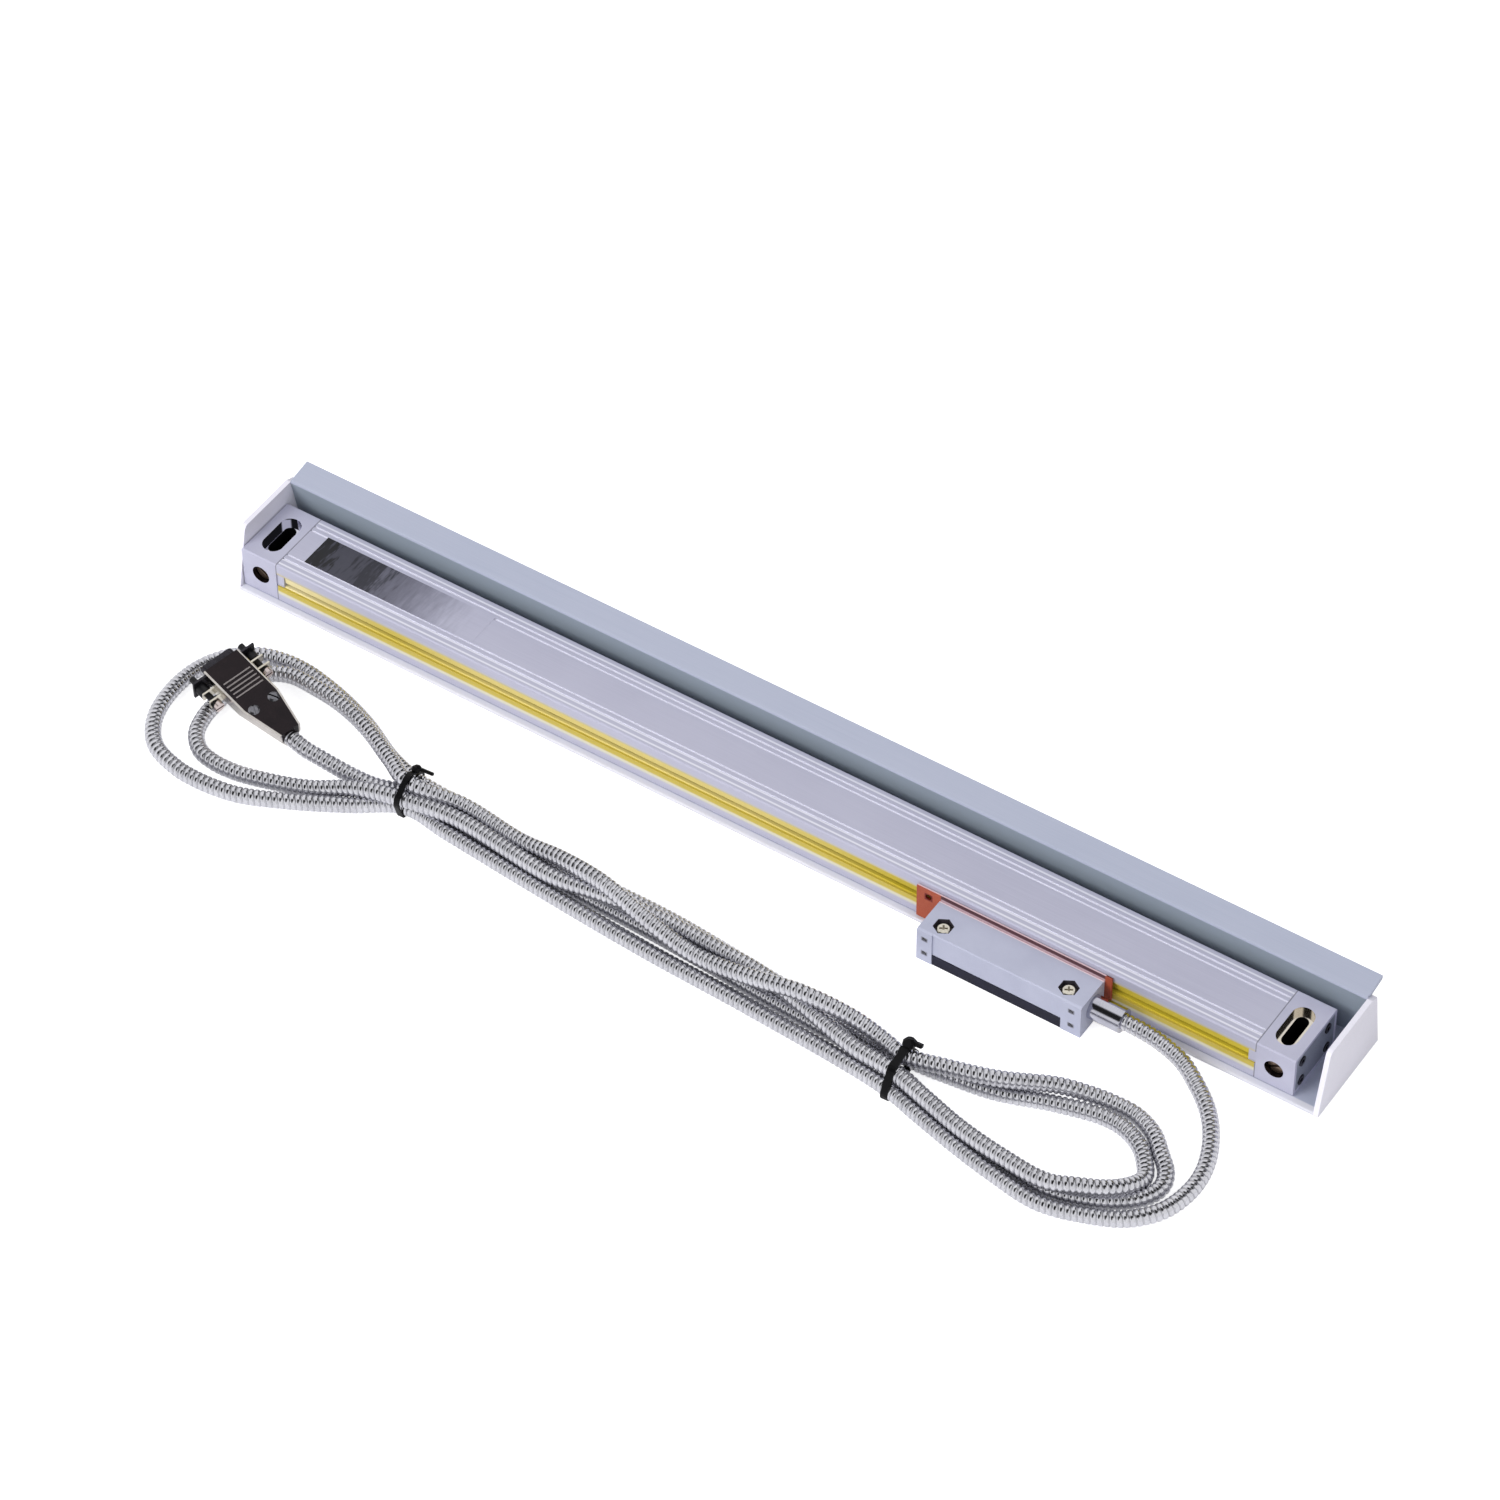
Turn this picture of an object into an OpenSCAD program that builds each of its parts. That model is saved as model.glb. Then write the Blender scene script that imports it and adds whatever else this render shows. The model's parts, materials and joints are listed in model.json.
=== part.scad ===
// Linear glass scale: sealed housing with a graduated glass strip, a reading head that
// slides along it, an armoured lead ending in a nine-way connector, and a loose guard
// profile that the scale lies in. Millimetres, +Z up, the base on z = 0.

/* [Measuring length] */
// Length over which the head can measure
travel = 370; // [120:10:1000]
// Housing length beyond the measuring length, both ends together
end_allowance = 130; // [126:1:160]
// Distance of the head from mid-travel at rest, towards the right
rest_offset = 128.5; // [-60:0.5:140]

/* [Scale housing] */
// Depth of the housing, front to back
body_w = 32; // [31:0.5:36]
// Height of the housing
body_h = 20.5; // [20:0.1:24]
// Front wall thickness, which holds the sealing lips
wall_front = 3.2; // [3:0.1:3.6]
// Back wall thickness, which holds the glass
wall_back = 4.5; // [4:0.1:5.5]
// Top wall thickness
wall_top = 2; // [1.6:0.1:2.4]
// Bottom wall thickness
wall_bottom = 2.2; // [1.8:0.1:2.6]
// Side of the square corner that each end screw threads into
corner_boss = 4.8; // [4.4:0.1:5]
// Height of the slot in the front wall
mouth_h = 6.8; // [6.4:0.1:7]
// Height of the sealing slit above the underside of the housing
slit_z = 9.7; // [9.4:0.1:10]
// Width of each fine groove along the top
groove_w = 0.9; // [0.6:0.1:1.2]
// Depth of each fine groove along the top
groove_d = 0.5; // [0.3:0.05:0.8]

/* [End blocks] */
// Length of each end block
block_len = 17; // [16:0.5:20]
// Gasket between block and housing
gasket_t = 0.5; // [0.4:0.1:1]
// Width of the mounting slot
slot_w = 5.5; // [4.5:0.1:6]
// Length of the mounting slot, across the housing
slot_len = 16; // [12:0.5:16]
// Width of the slot's counterbore
cbore_w = 9.5; // [8:0.1:10.5]
// Depth of the slot's counterbore
cbore_d = 3; // [2:0.1:3.1]
// Length of the slot's counterbore
cbore_len = 21; // [18:0.5:22]
// Diameter of the air port in the front of each block
port_d = 8.4; // [7:0.1:8.6]
// Thickness of the end plate
plate_t = 1.2; // [1:0.1:1.6]

/* [Glass and seals] */
// Thickness of the glass strip
glass_t = 2.2; // [2:0.1:2.4]
// Thickness of the bedding strip above the glass
bed_t = 0.8; // [0.6:0.1:1]
// Thickness of a sealing lip
lip_t = 0.9; // [0.7:0.05:1.1]

/* [Reading head] */
// Length of the head
head_len = 75; // [72:0.5:90]
// Depth of the head, front to back
head_w = 17.3; // [16.5:0.1:19]
// Height of the head
head_h = 17.3; // [16.8:0.1:18]
// Gap between head and housing, which holds the alignment bracket
head_gap = 1.2; // [1.1:0.05:1.4]
// Length of the left lug on the front of the head
lug_left = 7; // [6:0.5:8]
// Length of the right lug on the front of the head
lug_right = 9; // [7:0.5:10]
// How far the front panel is set back between the lugs
panel_inset = 0.5; // [0.4:0.1:0.8]
// Width of the broken edges along the top of the head
edge_break = 0.5; // [0.3:0.1:0.8]
// Height of the black lid's front edge
lid_front_h = 5.6; // [4:0.1:7]
// Thickness of the lid
lid_t = 1.6; // [1.2:0.1:1.8]
// Thickness of the alignment bracket
bracket_t = 0.9; // [0.7:0.05:1]
// Height of the alignment bracket
bracket_h = 17.6; // [16:0.1:18.5]
// How far the bracket stands out past the left end of the head
bracket_left = 11; // [8:0.5:14]
// How far the bracket stands out past the right end of the head
bracket_right = 3.2; // [2:0.1:5]
// Thickness of the blade that passes through the sealing lips
blade_t = 1; // [0.8:0.05:1.2]

/* [Carriage] */
// Length of the carriage inside the housing
carriage_len = 58; // [56:1:70]
// Radius of a guide roller
roller_r = 2.2; // [2:0.05:2.25]
// Width of a guide roller
roller_w = 2; // [1.6:0.1:2.2]
// Radius of a roller's axle
axle_r = 0.75; // [0.6:0.05:0.9]

/* [Lead and connector] */
// Outside diameter of the armoured hose
hose_d = 7; // [6:0.1:7.2]
// Outside diameter of the lead's ferrule at the head
gland_d = 10.3; // [8.6:0.1:10.6]
// Length of the ferrule
gland_len = 14; // [12:0.5:18]
// Spacing of the connector's two screws
jack_spacing = 25; // [24.8:0.1:25.4]
// Width of the connector hood
hood_w = 17.8; // [17.4:0.1:19]
// Length of the connector hood
hood_len = 45; // [44:0.5:50]
// Thickness of the connector hood
hood_h = 11; // [10.8:0.1:12]

/* [Guard profile] */
// Thickness of the guard profile
guard_t = 2; // [1.6:0.1:2.4]
// How much longer the guard is than the scale
guard_extra = 11; // [8:0.5:20]
// Depth of the guard's floor
guard_floor = 45.2; // [44.5:0.1:48]
// Height of the guard at the bend
guard_h = 32.3; // [30:0.1:36]
// How far the guard's wall leans forward over its height
guard_lean = 5.5; // [4:0.1:6.5]
// Width of the guard's top flange
flange_w = 11.9; // [8:0.1:14]
// Rise of the flange from bend to edge
flange_rise = 1.8; // [0:0.1:3]
// Thickness of an end cap
cap_t = 2.2; // [1.6:0.1:3]

/* [Hidden] */
$fn = 48;

eps = 0.01;
// running clearance of a roller on its axle and of a screw in its clip
run = 0.06;
// clearance between a roller and the glass
roll_gap = 0.08;
// clearance of the blade in the sealing slit, above and below
slit_gap = 0.2;
// clearance between loosely fitted inner pieces
fit = 0.3;
// clearance round a fixed screw or spigot in its hole
seat_gap = 0.03;
// clearance between a roller and the carriage's spine
spine_gap = 0.22;

// places along the scale
body_len = travel + end_allowance;
extr_x0 = block_len + gasket_t;
extr_len = body_len - 2 * extr_x0;
guard_x0 = -0.5;
guard_len = body_len + guard_extra;
head_cx = body_len / 2 + rest_offset;
head_x0 = head_cx - head_len / 2;
head_x1 = head_cx + head_len / 2;

// places across the scale
guard_front = -2.6;
head_back = -head_gap;
head_front = -head_gap - head_w;
floor_back = guard_front + guard_floor;
bend_y = floor_back - guard_t - guard_lean;
flange_back = bend_y + flange_w;

// heights
base_z = guard_t;
top_z = base_z + body_h;
head_z0 = 0.3;
head_top = head_z0 + head_h;
slit = base_z + slit_z;
mouth_z0 = slit - blade_t / 2 - slit_gap - 0.6;
mouth_z1 = mouth_z0 + mouth_h;
port_z = base_z + body_h / 2;

// inside of the housing
cav_y0 = wall_front;
cav_y1 = body_w - wall_back;
cav_z0 = base_z + wall_bottom;
cav_z1 = top_z - wall_top;
boss_y = [cav_y0 + corner_boss / 2, cav_y1 - corner_boss / 2];
boss_z = [cav_z0 + corner_boss / 2, cav_z1 - corner_boss / 2 - 0.5];
screw_r = 1.25;
glass_z = base_z + 10.6;
glass_y1 = cav_y1 + 2;
slot_y = body_w / 2 - 0.5;
slot_x = block_len / 2 + 0.5;

// the carriage, around the front edge of the glass
car_y0 = cav_y0 + corner_boss + 0.3;
car_y1 = cav_y1 - corner_boss - 0.3;
car_up0 = glass_z + glass_t + 0.6;
car_up1 = cav_z1 - 0.9;
car_lo0 = cav_z0 + 2.3;
car_lo1 = glass_z - fit;
spine_t = 2.5;
glass_y0 = car_y0 + spine_t + 2 * roller_r + roll_gap + spine_gap;
roller_slot = 2 * roller_r + 0.8;
face_x = [-carriage_len / 2 + 5, -carriage_len / 2 + 21, carriage_len / 2 - 5];
face_y = (glass_y0 + car_y1) / 2;
face_z = glass_z + glass_t + roll_gap + roller_r;
edge_x = [-carriage_len / 2 + 13, carriage_len / 2 - 13];
edge_y = glass_y0 - roll_gap - roller_r;
edge_z = glass_z + glass_t / 2;
optic_x = carriage_len / 2 - 21;
optic_y = face_y;
optic_half = (car_y1 - glass_y0) / 2 - 0.4;
wire_y = cav_y0 + 1.6;
wire_r = 0.4;
coupling_x = 10;

// the head
blade_len = head_len - 35;
pocket_x0 = head_cx - blade_len / 2 - 0.5;
pocket_x1 = head_cx + blade_len / 2 + 0.5;
pocket_y0 = head_front + panel_inset + 2;
pocket_y1 = head_back - 3.2;
pocket_top = head_top - 3.8;
lid_x0 = pocket_x0 - 3.6;
lid_x1 = pocket_x1 + 2.8;
mount_x = [head_x0 + 8.2, head_x1 - 9.6];
mount_y = head_front + 6.6;
relief = 2.2;
blade_in = 8;
blade_screw_dx = blade_len / 2 - 6;
blade_screw_y = pocket_y1 - 2.6;

// the connector's own frame: u along it from front to back, v across, w up
hood_pos = [28.3, -52.2, 9.1];
hood_roll = 5.4;
hood_pitch = 7;
hood_yaw = -15.1;
hood_flat = 26;
hood_tail_w = 10;
hood_chamfer = 3.4;
hood_wall = 1.8;
rail_t = 0.8;
flange_u = 1;
flange_t = 1;
ear_w = 31;
ear_h = 9.4;
shell_w = 16;
shell_h = 8.2;
jack_r = 1.4;

// the lead's route, chosen by hand: from the ferrule round to the hank, the loops and
// strands of the hank, then from the hank to the connector
lead_route = [[430, -9.3, 10.3], [437, -9.3, 10], [444, -9.5, 9.3], [451, -10.3, 8.2], [458, -12, 6.8],
  [467, -17, 5], [477, -25, 3.8], [485, -36, 3.6], [490.5, -49.5, 3.6], [491.5, -62, 3.6],
      [488, -75.5, 3.6],
  [479, -86.5, 3.6], [464, -94, 3.6], [446, -98.5, 3.6]];
pigtail_route = [[69, -63.7, 9.4], [74, -65, 8.9], [80, -65.8, 8], [87, -65.5, 6.8], [95, -65.2, 5.6],
  [103, -64.6, 4.4], [112, -63.6, 3.8]];
left_outer = [[132, -66], [110, -77.5], [91, -88], [71, -97], [60.5, -99], [50.5, -100], [40.5, -99.5],
  [25.5, -94], [16.5, -84], [12.5, -67], [14, -51], [20, -39], [30, -31], [40, -28], [50.5, -27.5],
      [61, -29],
  [75, -32.5], [91, -38.5], [111, -49.5], [132, -56]];
left_inner = [[132, -67], [110, -72], [91, -79.5], [71, -86], [60.5, -88.3], [50.5, -88.5], [42.5, -86.5],
  [35.5, -80], [32.5, -71], [32, -62], [33, -50], [37, -41], [43, -36.5], [50.5, -34.5], [61, -34],
  [75, -36.5], [91, -41.5], [111, -51.5], [132, -57.5]];
right_outer = [[366, -70], [385, -66.5], [405, -59], [425, -47.5], [435.5, -43.5], [445.5, -41],
    [455.5, -41.5],
  [465.5, -46], [473, -53], [479.5, -60], [481.5, -67], [478.5, -75], [471, -82], [460, -87.8],
      [446, -91.6],
  [405, -87], [385, -81.5], [366, -79]];
right_inner = [[366, -70], [385, -67], [405, -61.5], [425, -53.5], [445.5, -49], [455, -49.5], [464, -54],
  [470.5, -60.5], [474, -67], [473, -75], [467.5, -82], [457, -87], [445.5, -90.5], [405, -86],
      [385, -81.5],
  [366, -79]];
lead_in = [[446, -98.5], [425, -96], [405, -92.5], [385, -87], [366, -82.5]];
bundle_low = [[120, -71.5], [152, -71.2], [202, -75.6], [253, -79.2], [304, -81.2], [367, -86], [386, -89],
  [386, -64], [367, -62.5], [304, -58], [253, -53.5], [202, -54.4], [152, -50.5], [120, -54]];
bundle_high = [[124, -67], [152, -67.5], [202, -72], [253, -75.5], [304, -77.5], [367, -82.5], [382, -84],
  [382, -69], [367, -66.5], [304, -62.5], [253, -59], [202, -57.5], [152, -53], [124, -53.5]];
strand_h = hose_d;
pile_h = 1.88 * hose_d;

// the origin is at the middle of the whole object's base, lead left out
mid_x = (guard_x0 - cap_t + guard_x0 + guard_len + cap_t) / 2;
mid_y = (head_front + flange_back) / 2;

// ---------------------------------------------------------------- helpers
// moves a piece from the housing's own corner to the part's origin
module placed() translate([-mid_x, -mid_y, 0]) children();

// extrudes a section drawn in y and z along x
module along_x(x0, len) translate([x0, 0, 0]) rotate([90, 0, 90]) linear_extrude(height = len) children();

// extrudes an outline drawn in x and z along y, from y0 towards +y
module along_y(y0, len) translate([0, y0 + len, 0]) rotate([90, 0, 0]) linear_extrude(height = len)
    children();

// a cylinder along y that starts at y0
module bar_y(x, y0, z, r, len) translate([x, y0, z]) rotate([-90, 0, 0]) cylinder(h = len, r = r);

// a cylinder along x that starts at x0
module bar_x(x0, y, z, r, len) translate([x0, y, z]) rotate([0, 90, 0]) cylinder(h = len, r = r);

// a box given by its two corners
module block(a, b) translate(a) cube(b - a);

// a slot that runs along y, as a prism from z0 up
module slot_y_prism(x, y, w, len, z0, h) {
  translate([x - w / 2, y - (len - w) / 2, z0]) cube([w, len - w, h]);
  for (s = [-1, 1]) translate([x, y + s * (len - w) / 2, z0]) cylinder(h = h, r = w / 2);
}

// puts its children at both ends of the scale, the second as a mirror image
module both_ends() {
  children();
  translate([body_len, 0, 0]) mirror([1, 0, 0]) children();
}

// ---------------------------------------------------------------- housing
// outline of the housing's cavity, with a solid corner at each end screw
module cavity_2d() {
  difference() {
    translate([cav_y0, cav_z0]) square([cav_y1 - cav_y0, cav_z1 - cav_z0]);
    for (y = [cav_y0 - eps, cav_y1 - corner_boss]) {
      translate([y, cav_z0 - eps]) square([corner_boss + eps, corner_boss + eps]);
      translate([y, cav_z1 - corner_boss - 0.5]) square([corner_boss + eps, corner_boss + 0.5 + eps]);
    }
  }
}

// outline of the housing with slightly broken edges
module body_2d() {
  c = 0.6;
  polygon([[c, base_z], [body_w - c, base_z], [body_w, base_z + c], [body_w, top_z - c],
    [body_w - c, top_z], [c, top_z], [0, top_z - c], [0, base_z + c]]);
}

// the slot in the front wall with the undercuts that hold the lips
module mouth_2d() {
  translate([-eps, mouth_z0]) square([wall_front + 2 * eps, mouth_h]);
  translate([0.9, mouth_z0 - 1.7]) square([1.8, mouth_h + 3.4]);
}

module section_2d() {
  difference() {
    body_2d();
    cavity_2d();
    mouth_2d();
    for (y = boss_y) for (z = boss_z) translate([y, z]) circle(r = screw_r);
  }
}

module housing_extrusion() color([0.72, 0.72, 0.8]) placed() difference() {
  along_x(extr_x0, extr_len) difference() {
    section_2d();
    translate([cav_y1 - eps, glass_z]) square([glass_y1 - cav_y1 + 0.2 + eps, glass_t + bed_t]);
    for (y = [4.6, 7.2, body_w - 7.2 - groove_w, body_w - 4.6 - groove_w])
      translate([y, top_z - groove_d]) square([groove_w, groove_d + eps]);
  }
}

module end_gaskets() color([0.15, 0.15, 0.16]) placed() both_ends()
  along_x(block_len, gasket_t) section_2d();

// one end block, drawn at the left end
module end_block() {
  difference() {
    union() {
      along_x(0, block_len) body_2d();
      block([block_len - eps, 0.6, mouth_z0 + 0.05], [extr_x0 + 3, wall_front - 0.1, mouth_z1 - 0.05]);
    }
    slot_y_prism(slot_x, slot_y, slot_w, slot_len, base_z - 1, body_h + 2);
    slot_y_prism(slot_x, slot_y, cbore_w, cbore_len, top_z - cbore_d, cbore_d + 1);
    bar_y(slot_x, -1, port_z, port_d / 2, 5);
    bar_y(slot_x, 3, port_z, 2, 4);
    bar_x(slot_x, 5.6, port_z, 1.2, block_len);
    for (y = boss_y) for (z = boss_z) bar_x(-1, y, z, screw_r, block_len + 2);
    block([-1, 1.6, base_z + 1.6], [plate_t, body_w - 1.6, top_z - 1.6]);
  }
}

module left_end_block() color([0.74, 0.74, 0.8]) placed() end_block();
module right_end_block() color([0.74, 0.74, 0.8]) placed() translate([body_len, 0, 0]) mirror([1, 0, 0])
    end_block();

// plate let into the end face, drawn at the left end
module end_plate() difference() {
  block([0, 1.6, base_z + 1.6], [plate_t, body_w - 1.6, top_z - 1.6]);
  for (y = boss_y) for (z = boss_z) {
    bar_x(-1, y, z, screw_r, plate_t + 2);
    bar_x(-1, y, z, 2.3, 1.4);
  }
}
module left_end_plate() color([0.36, 0.37, 0.42]) placed() end_plate();
module right_end_plate() color([0.36, 0.37, 0.42]) placed() translate([body_len, 0, 0])
    mirror([1, 0, 0]) end_plate();

// end screws: they pass the plate and the block and thread into the housing's corners
module end_plate_screws() color([0.1, 0.1, 0.1]) placed() both_ends()
  for (y = boss_y) for (z = boss_z) difference() {
    union() {
      bar_x(-0.4, y, z, 2.2, 0.8);
      bar_x(0.4 - eps, y, z, screw_r, extr_x0 + 7);
    }
    translate([-0.5, y, z]) rotate([0, 90, 0]) cylinder(h = 0.6, r = 1, $fn = 6);
  }

// slotted plug screw in the air port of each block
module port_plugs() color([0.35, 0.3, 0.25]) placed() both_ends() difference() {
  union() {
    bar_y(slot_x, 2.2, port_z, port_d / 2 - 0.5, 1.8);
    bar_y(slot_x, 4 - eps, port_z, 2, 2.6);
  }
  translate([slot_x, 2, port_z]) rotate([0, 35, 0]) translate([-4, 0, -0.6]) cube([8, 1, 1.2]);
}

module glass_scale() color([0.75, 0.88, 0.85, 0.6]) placed()
  block([extr_x0 + 1.5, glass_y0, glass_z], [body_len - extr_x0 - 1.5, glass_y1, glass_z + glass_t]);

module glass_bedding() color([0.85, 0.85, 0.82]) placed()
  block([extr_x0 + 1.5, cav_y1, glass_z + glass_t],
      [body_len - extr_x0 - 1.5, glass_y1, glass_z + glass_t + bed_t]);

// lips: a root pushed into the undercut and a flap that reaches to the slit
module upper_seal_lip() color([0.86, 0.74, 0.2]) placed() along_x(extr_x0 + 3, extr_len - 6)
  polygon([[0.95, mouth_z1 + 1.6], [2.65, mouth_z1 + 1.6], [2.65, mouth_z1],
      [0.95 + lip_t + 0.1, mouth_z1 - 0.9],
    [1.6 + lip_t, slit + blade_t / 2 + slit_gap], [1.6, slit + blade_t / 2 + slit_gap], [0.95, mouth_z1]]);

module lower_seal_lip() color([0.86, 0.78, 0.35]) placed() along_x(extr_x0 + 3, extr_len - 6)
  polygon([[0.95, mouth_z0 - 1.6], [2.65, mouth_z0 - 1.6], [2.65, mouth_z0],
      [1.6 + lip_t, slit - blade_t / 2 - slit_gap],
    [1.2, slit - blade_t / 2 - slit_gap], [0.95, mouth_z0]]);

// ---------------------------------------------------------------- guard profile
// front face of the guard's wall at a height
function wall_y(z) = bend_y + guard_lean * (guard_h - z) / (guard_h - guard_t);

module guard_profile() color([0.72, 0.74, 0.83]) placed() along_x(guard_x0, guard_len)
  polygon([[guard_front + 0.3, 0], [floor_back - 0.8, 0], [floor_back + 0.1, 0.8],
      [bend_y + guard_t + 0.4, guard_h - guard_t],
    [flange_back - 0.3, guard_h + flange_rise - guard_t],
        [flange_back, guard_h + flange_rise - guard_t + 0.4],
    [flange_back, guard_h + flange_rise], [bend_y + 0.9, guard_h + 0.1], [bend_y + 0.2, guard_h - 0.2],
    [bend_y, guard_h - 0.9], [wall_y(guard_t + 0.6), guard_t + 0.6], [wall_y(guard_t) - 0.6, guard_t],
    [guard_front + 0.3, guard_t], [guard_front, guard_t - 0.3], [guard_front, 0.3]]);

// end cap, drawn at the left end: a plate with a lip that hooks behind the wall
cap_back_low = floor_back + 1.4;
cap_back_high = bend_y + guard_t + 2.3;
cap_top = guard_h - 0.5;
cap_hook = 4 * guard_t;
module guard_cap() {
  along_x(guard_x0 - cap_t, cap_t) polygon([[guard_front, 0], [cap_back_low, 0],
      [cap_back_high, guard_h - guard_t - 0.2],
    [cap_back_high - 1.4, guard_h - guard_t + 0.2], [bend_y + 0.2, cap_top], [guard_front + 8.2, cap_top],
    [guard_front + 7, cap_top - 0.4], [guard_front + 6.2, cap_top - 1.6], [guard_front, 1.2]]);
  along_x(guard_x0 - eps, cap_hook) polygon([[floor_back + 0.12, 0.8], [cap_back_low - 0.1, 0.8],
    [cap_back_high, guard_h - guard_t - 0.2], [bend_y + guard_t + 0.46, guard_h - guard_t - 0.2]]);
}
module left_guard_cap() color([0.93, 0.93, 0.96]) placed() guard_cap();
module right_guard_cap() color([0.93, 0.93, 0.96]) placed()
  translate([2 * guard_x0 + guard_len, 0, 0]) mirror([1, 0, 0]) guard_cap();

// ---------------------------------------------------------------- reading head
lug_screw_x = [head_x0 + 3.6, head_x1 - 4.4];
lug_screw_z = [head_z0 + 4.8, head_z0 + 12.8];
bracket_screw_x = [head_x0 + 5, head_x1 - 5];
bracket_screw_z = head_z0 + 5.5;
bracket_z = base_z + 0.4;
lid_screw_x = [lid_x0 + 1.6, lid_x1 - 1.6];
lid_screw_y = [pocket_y0 + 2, pocket_y1 - 2];
gland_y = head_back - 8.1;
gland_z = head_z0 + 10;

// section of the head with broken edges, its front at y
module head_2d(y) {
  c = edge_break;
  polygon([[y, head_z0], [head_back, head_z0], [head_back, head_top - c], [head_back - c, head_top],
    [head_front + panel_inset + c, head_top], [y, head_top - c]]);
}

module head_block() color([0.72, 0.72, 0.8]) placed() difference() {
  union() {
    along_x(head_x0, lug_left) head_2d(head_front);
    along_x(head_x1 - lug_right, lug_right) head_2d(head_front);
    along_x(head_x0 + lug_left - eps, head_len - lug_left - lug_right + 2 * eps)
        head_2d(head_front + panel_inset);
  }
  // relief over the guard's floor
  block([head_x0 - 1, head_back - relief, head_z0 - 1], [head_x1 + 1, head_back + 1, head_z0 + 2.5]);
  // pocket for the electronics, with two posts left in it for the blade
  difference() {
    block([pocket_x0, pocket_y0, head_z0 - 1], [pocket_x1, pocket_y1, pocket_top]);
    for (s = [-1, 1]) translate([head_cx + s * blade_screw_dx, blade_screw_y, slit + blade_t / 2])
        cylinder(h = 10, r = 2);
  }
  for (s = [-1, 1]) translate([head_cx + s * blade_screw_dx, blade_screw_y, slit])
      cylinder(h = blade_t / 2 + 3.5, r = 1);
  // the lid's seat, underneath and along the front
  block([lid_x0, head_front - 1, head_z0 - 1], [lid_x1, head_back - relief + eps, head_z0 + lid_t]);
  block([head_x0 + lug_left, head_front - 1, head_z0 - 1],
      [head_x1 - lug_right, head_front + panel_inset + 1.2, head_z0 + lid_front_h]);
  // blade slot through the back wall
  block([head_cx - blade_len / 2 - 0.2, pocket_y1 - 1, slit - blade_t / 2],
      [head_cx + blade_len / 2 + 0.2, head_back + 1, slit + blade_t / 2]);
  // mounting holes with hexagonal pockets
  for (x = mount_x) translate([x, mount_y, 0]) {
    translate([0, 0, -1]) cylinder(h = head_top + 2, r = 2.1);
    translate([0, 0, head_top - 3.4]) rotate([0, 0, 30]) cylinder(h = 5, r = 4.3, $fn = 6);
  }
  // lug screws, bracket screws, lid screws, lead
  for (x = lug_screw_x) for (z = lug_screw_z) bar_y(x, head_front - 1, z, 1 + seat_gap, 3.6);
  for (x = bracket_screw_x) bar_y(x, head_back - 4, bracket_screw_z, 0.8 + seat_gap, 5);
  for (x = lid_screw_x) for (y = lid_screw_y) translate([x, y, 0])
      cylinder(h = head_z0 + lid_t + 4.5, r = 0.8);
  bar_x(pocket_x1 - 1, gland_y + 1.6, gland_z, 1.5, head_x1 - pocket_x1 - 2);
  bar_x(head_x1 - 4, gland_y, gland_z, gland_d / 2 - 1.4 + seat_gap, 6);
}

// black lid that closes the pocket from below and shows as a strip along the front
module head_lid() color([0.1, 0.1, 0.17]) placed() difference() {
  union() {
    block([lid_x0 + 0.1, head_front + 0.3, head_z0], [lid_x1 - 0.1, head_back - relief, head_z0 + lid_t]);
    block([head_x0 + lug_left + 0.1, head_front + 0.3, head_z0],
      [head_x1 - lug_right - 0.1, head_front + panel_inset + 1.2, head_z0 + lid_front_h - 0.1]);
  }
  for (x = lid_screw_x) for (y = lid_screw_y) translate([x, y, 0]) {
    cylinder(h = 5, r = 0.8);
    cylinder(h = head_z0 + 0.6, r = 1.5);
  }
}

module lid_screws() color([0.6, 0.6, 0.62]) placed() for (x = lid_screw_x) for (y = lid_screw_y)
    translate([x, y, head_z0]) {
  cylinder(h = 0.6, r = 1.5);
  translate([0, 0, 0.6 - eps]) cylinder(h = lid_t + 3.9, r = 0.8);
}

// mounting screws of the head: a pan head with a cross recess in each hexagonal pocket
module head_mounting_screws() color([0.85, 0.84, 0.8]) placed()
  for (x = mount_x) translate([x, mount_y, 0]) difference() {
    union() {
      translate([0, 0, head_top - 3.4]) cylinder(h = 1.7, r = 3.2);
      translate([0, 0, head_top - 1.7 - eps]) cylinder(h = 0.5, r1 = 3.2, r2 = 2.4);
      translate([0, 0, head_z0 + 0.4]) cylinder(h = head_top - 3.4 - head_z0 - 0.4 + eps, r = 2);
    }
    for (a = [0, 90]) rotate([0, 0, a + 30]) translate([-1.7, -0.4, head_top - 2.6]) cube([3.4, 0.8, 3]);
  }

module lug_screws() color([0.3, 0.3, 0.33]) placed() for (x = lug_screw_x) for (z = lug_screw_z)
    difference() {
  bar_y(x, head_front + 0.2, z, 1, 2.4);
  translate([x, head_front, z]) rotate([0, 30, 0]) translate([-1.2, 0, -0.25]) cube([2.4, 0.7, 0.5]);
}

module head_circuit_board() color([0.1, 0.4, 0.2]) placed() {
  block([pocket_x0 + 0.4, pocket_y0 + 0.4, board_z], [pocket_x1 - 0.4, pocket_y1 - 0.4, board_z + 1]);
  for (i = [0 : 4]) translate([pocket_x0 + 4 + i * chip_pitch, pocket_y0 + 2.5, board_z + 1 - eps])
      cube([4, 3.4, 1.2]);
}
board_z = head_z0 + lid_t + 1.6;
chip_pitch = (pocket_x1 - pocket_x0 - 6) / 5;

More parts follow.
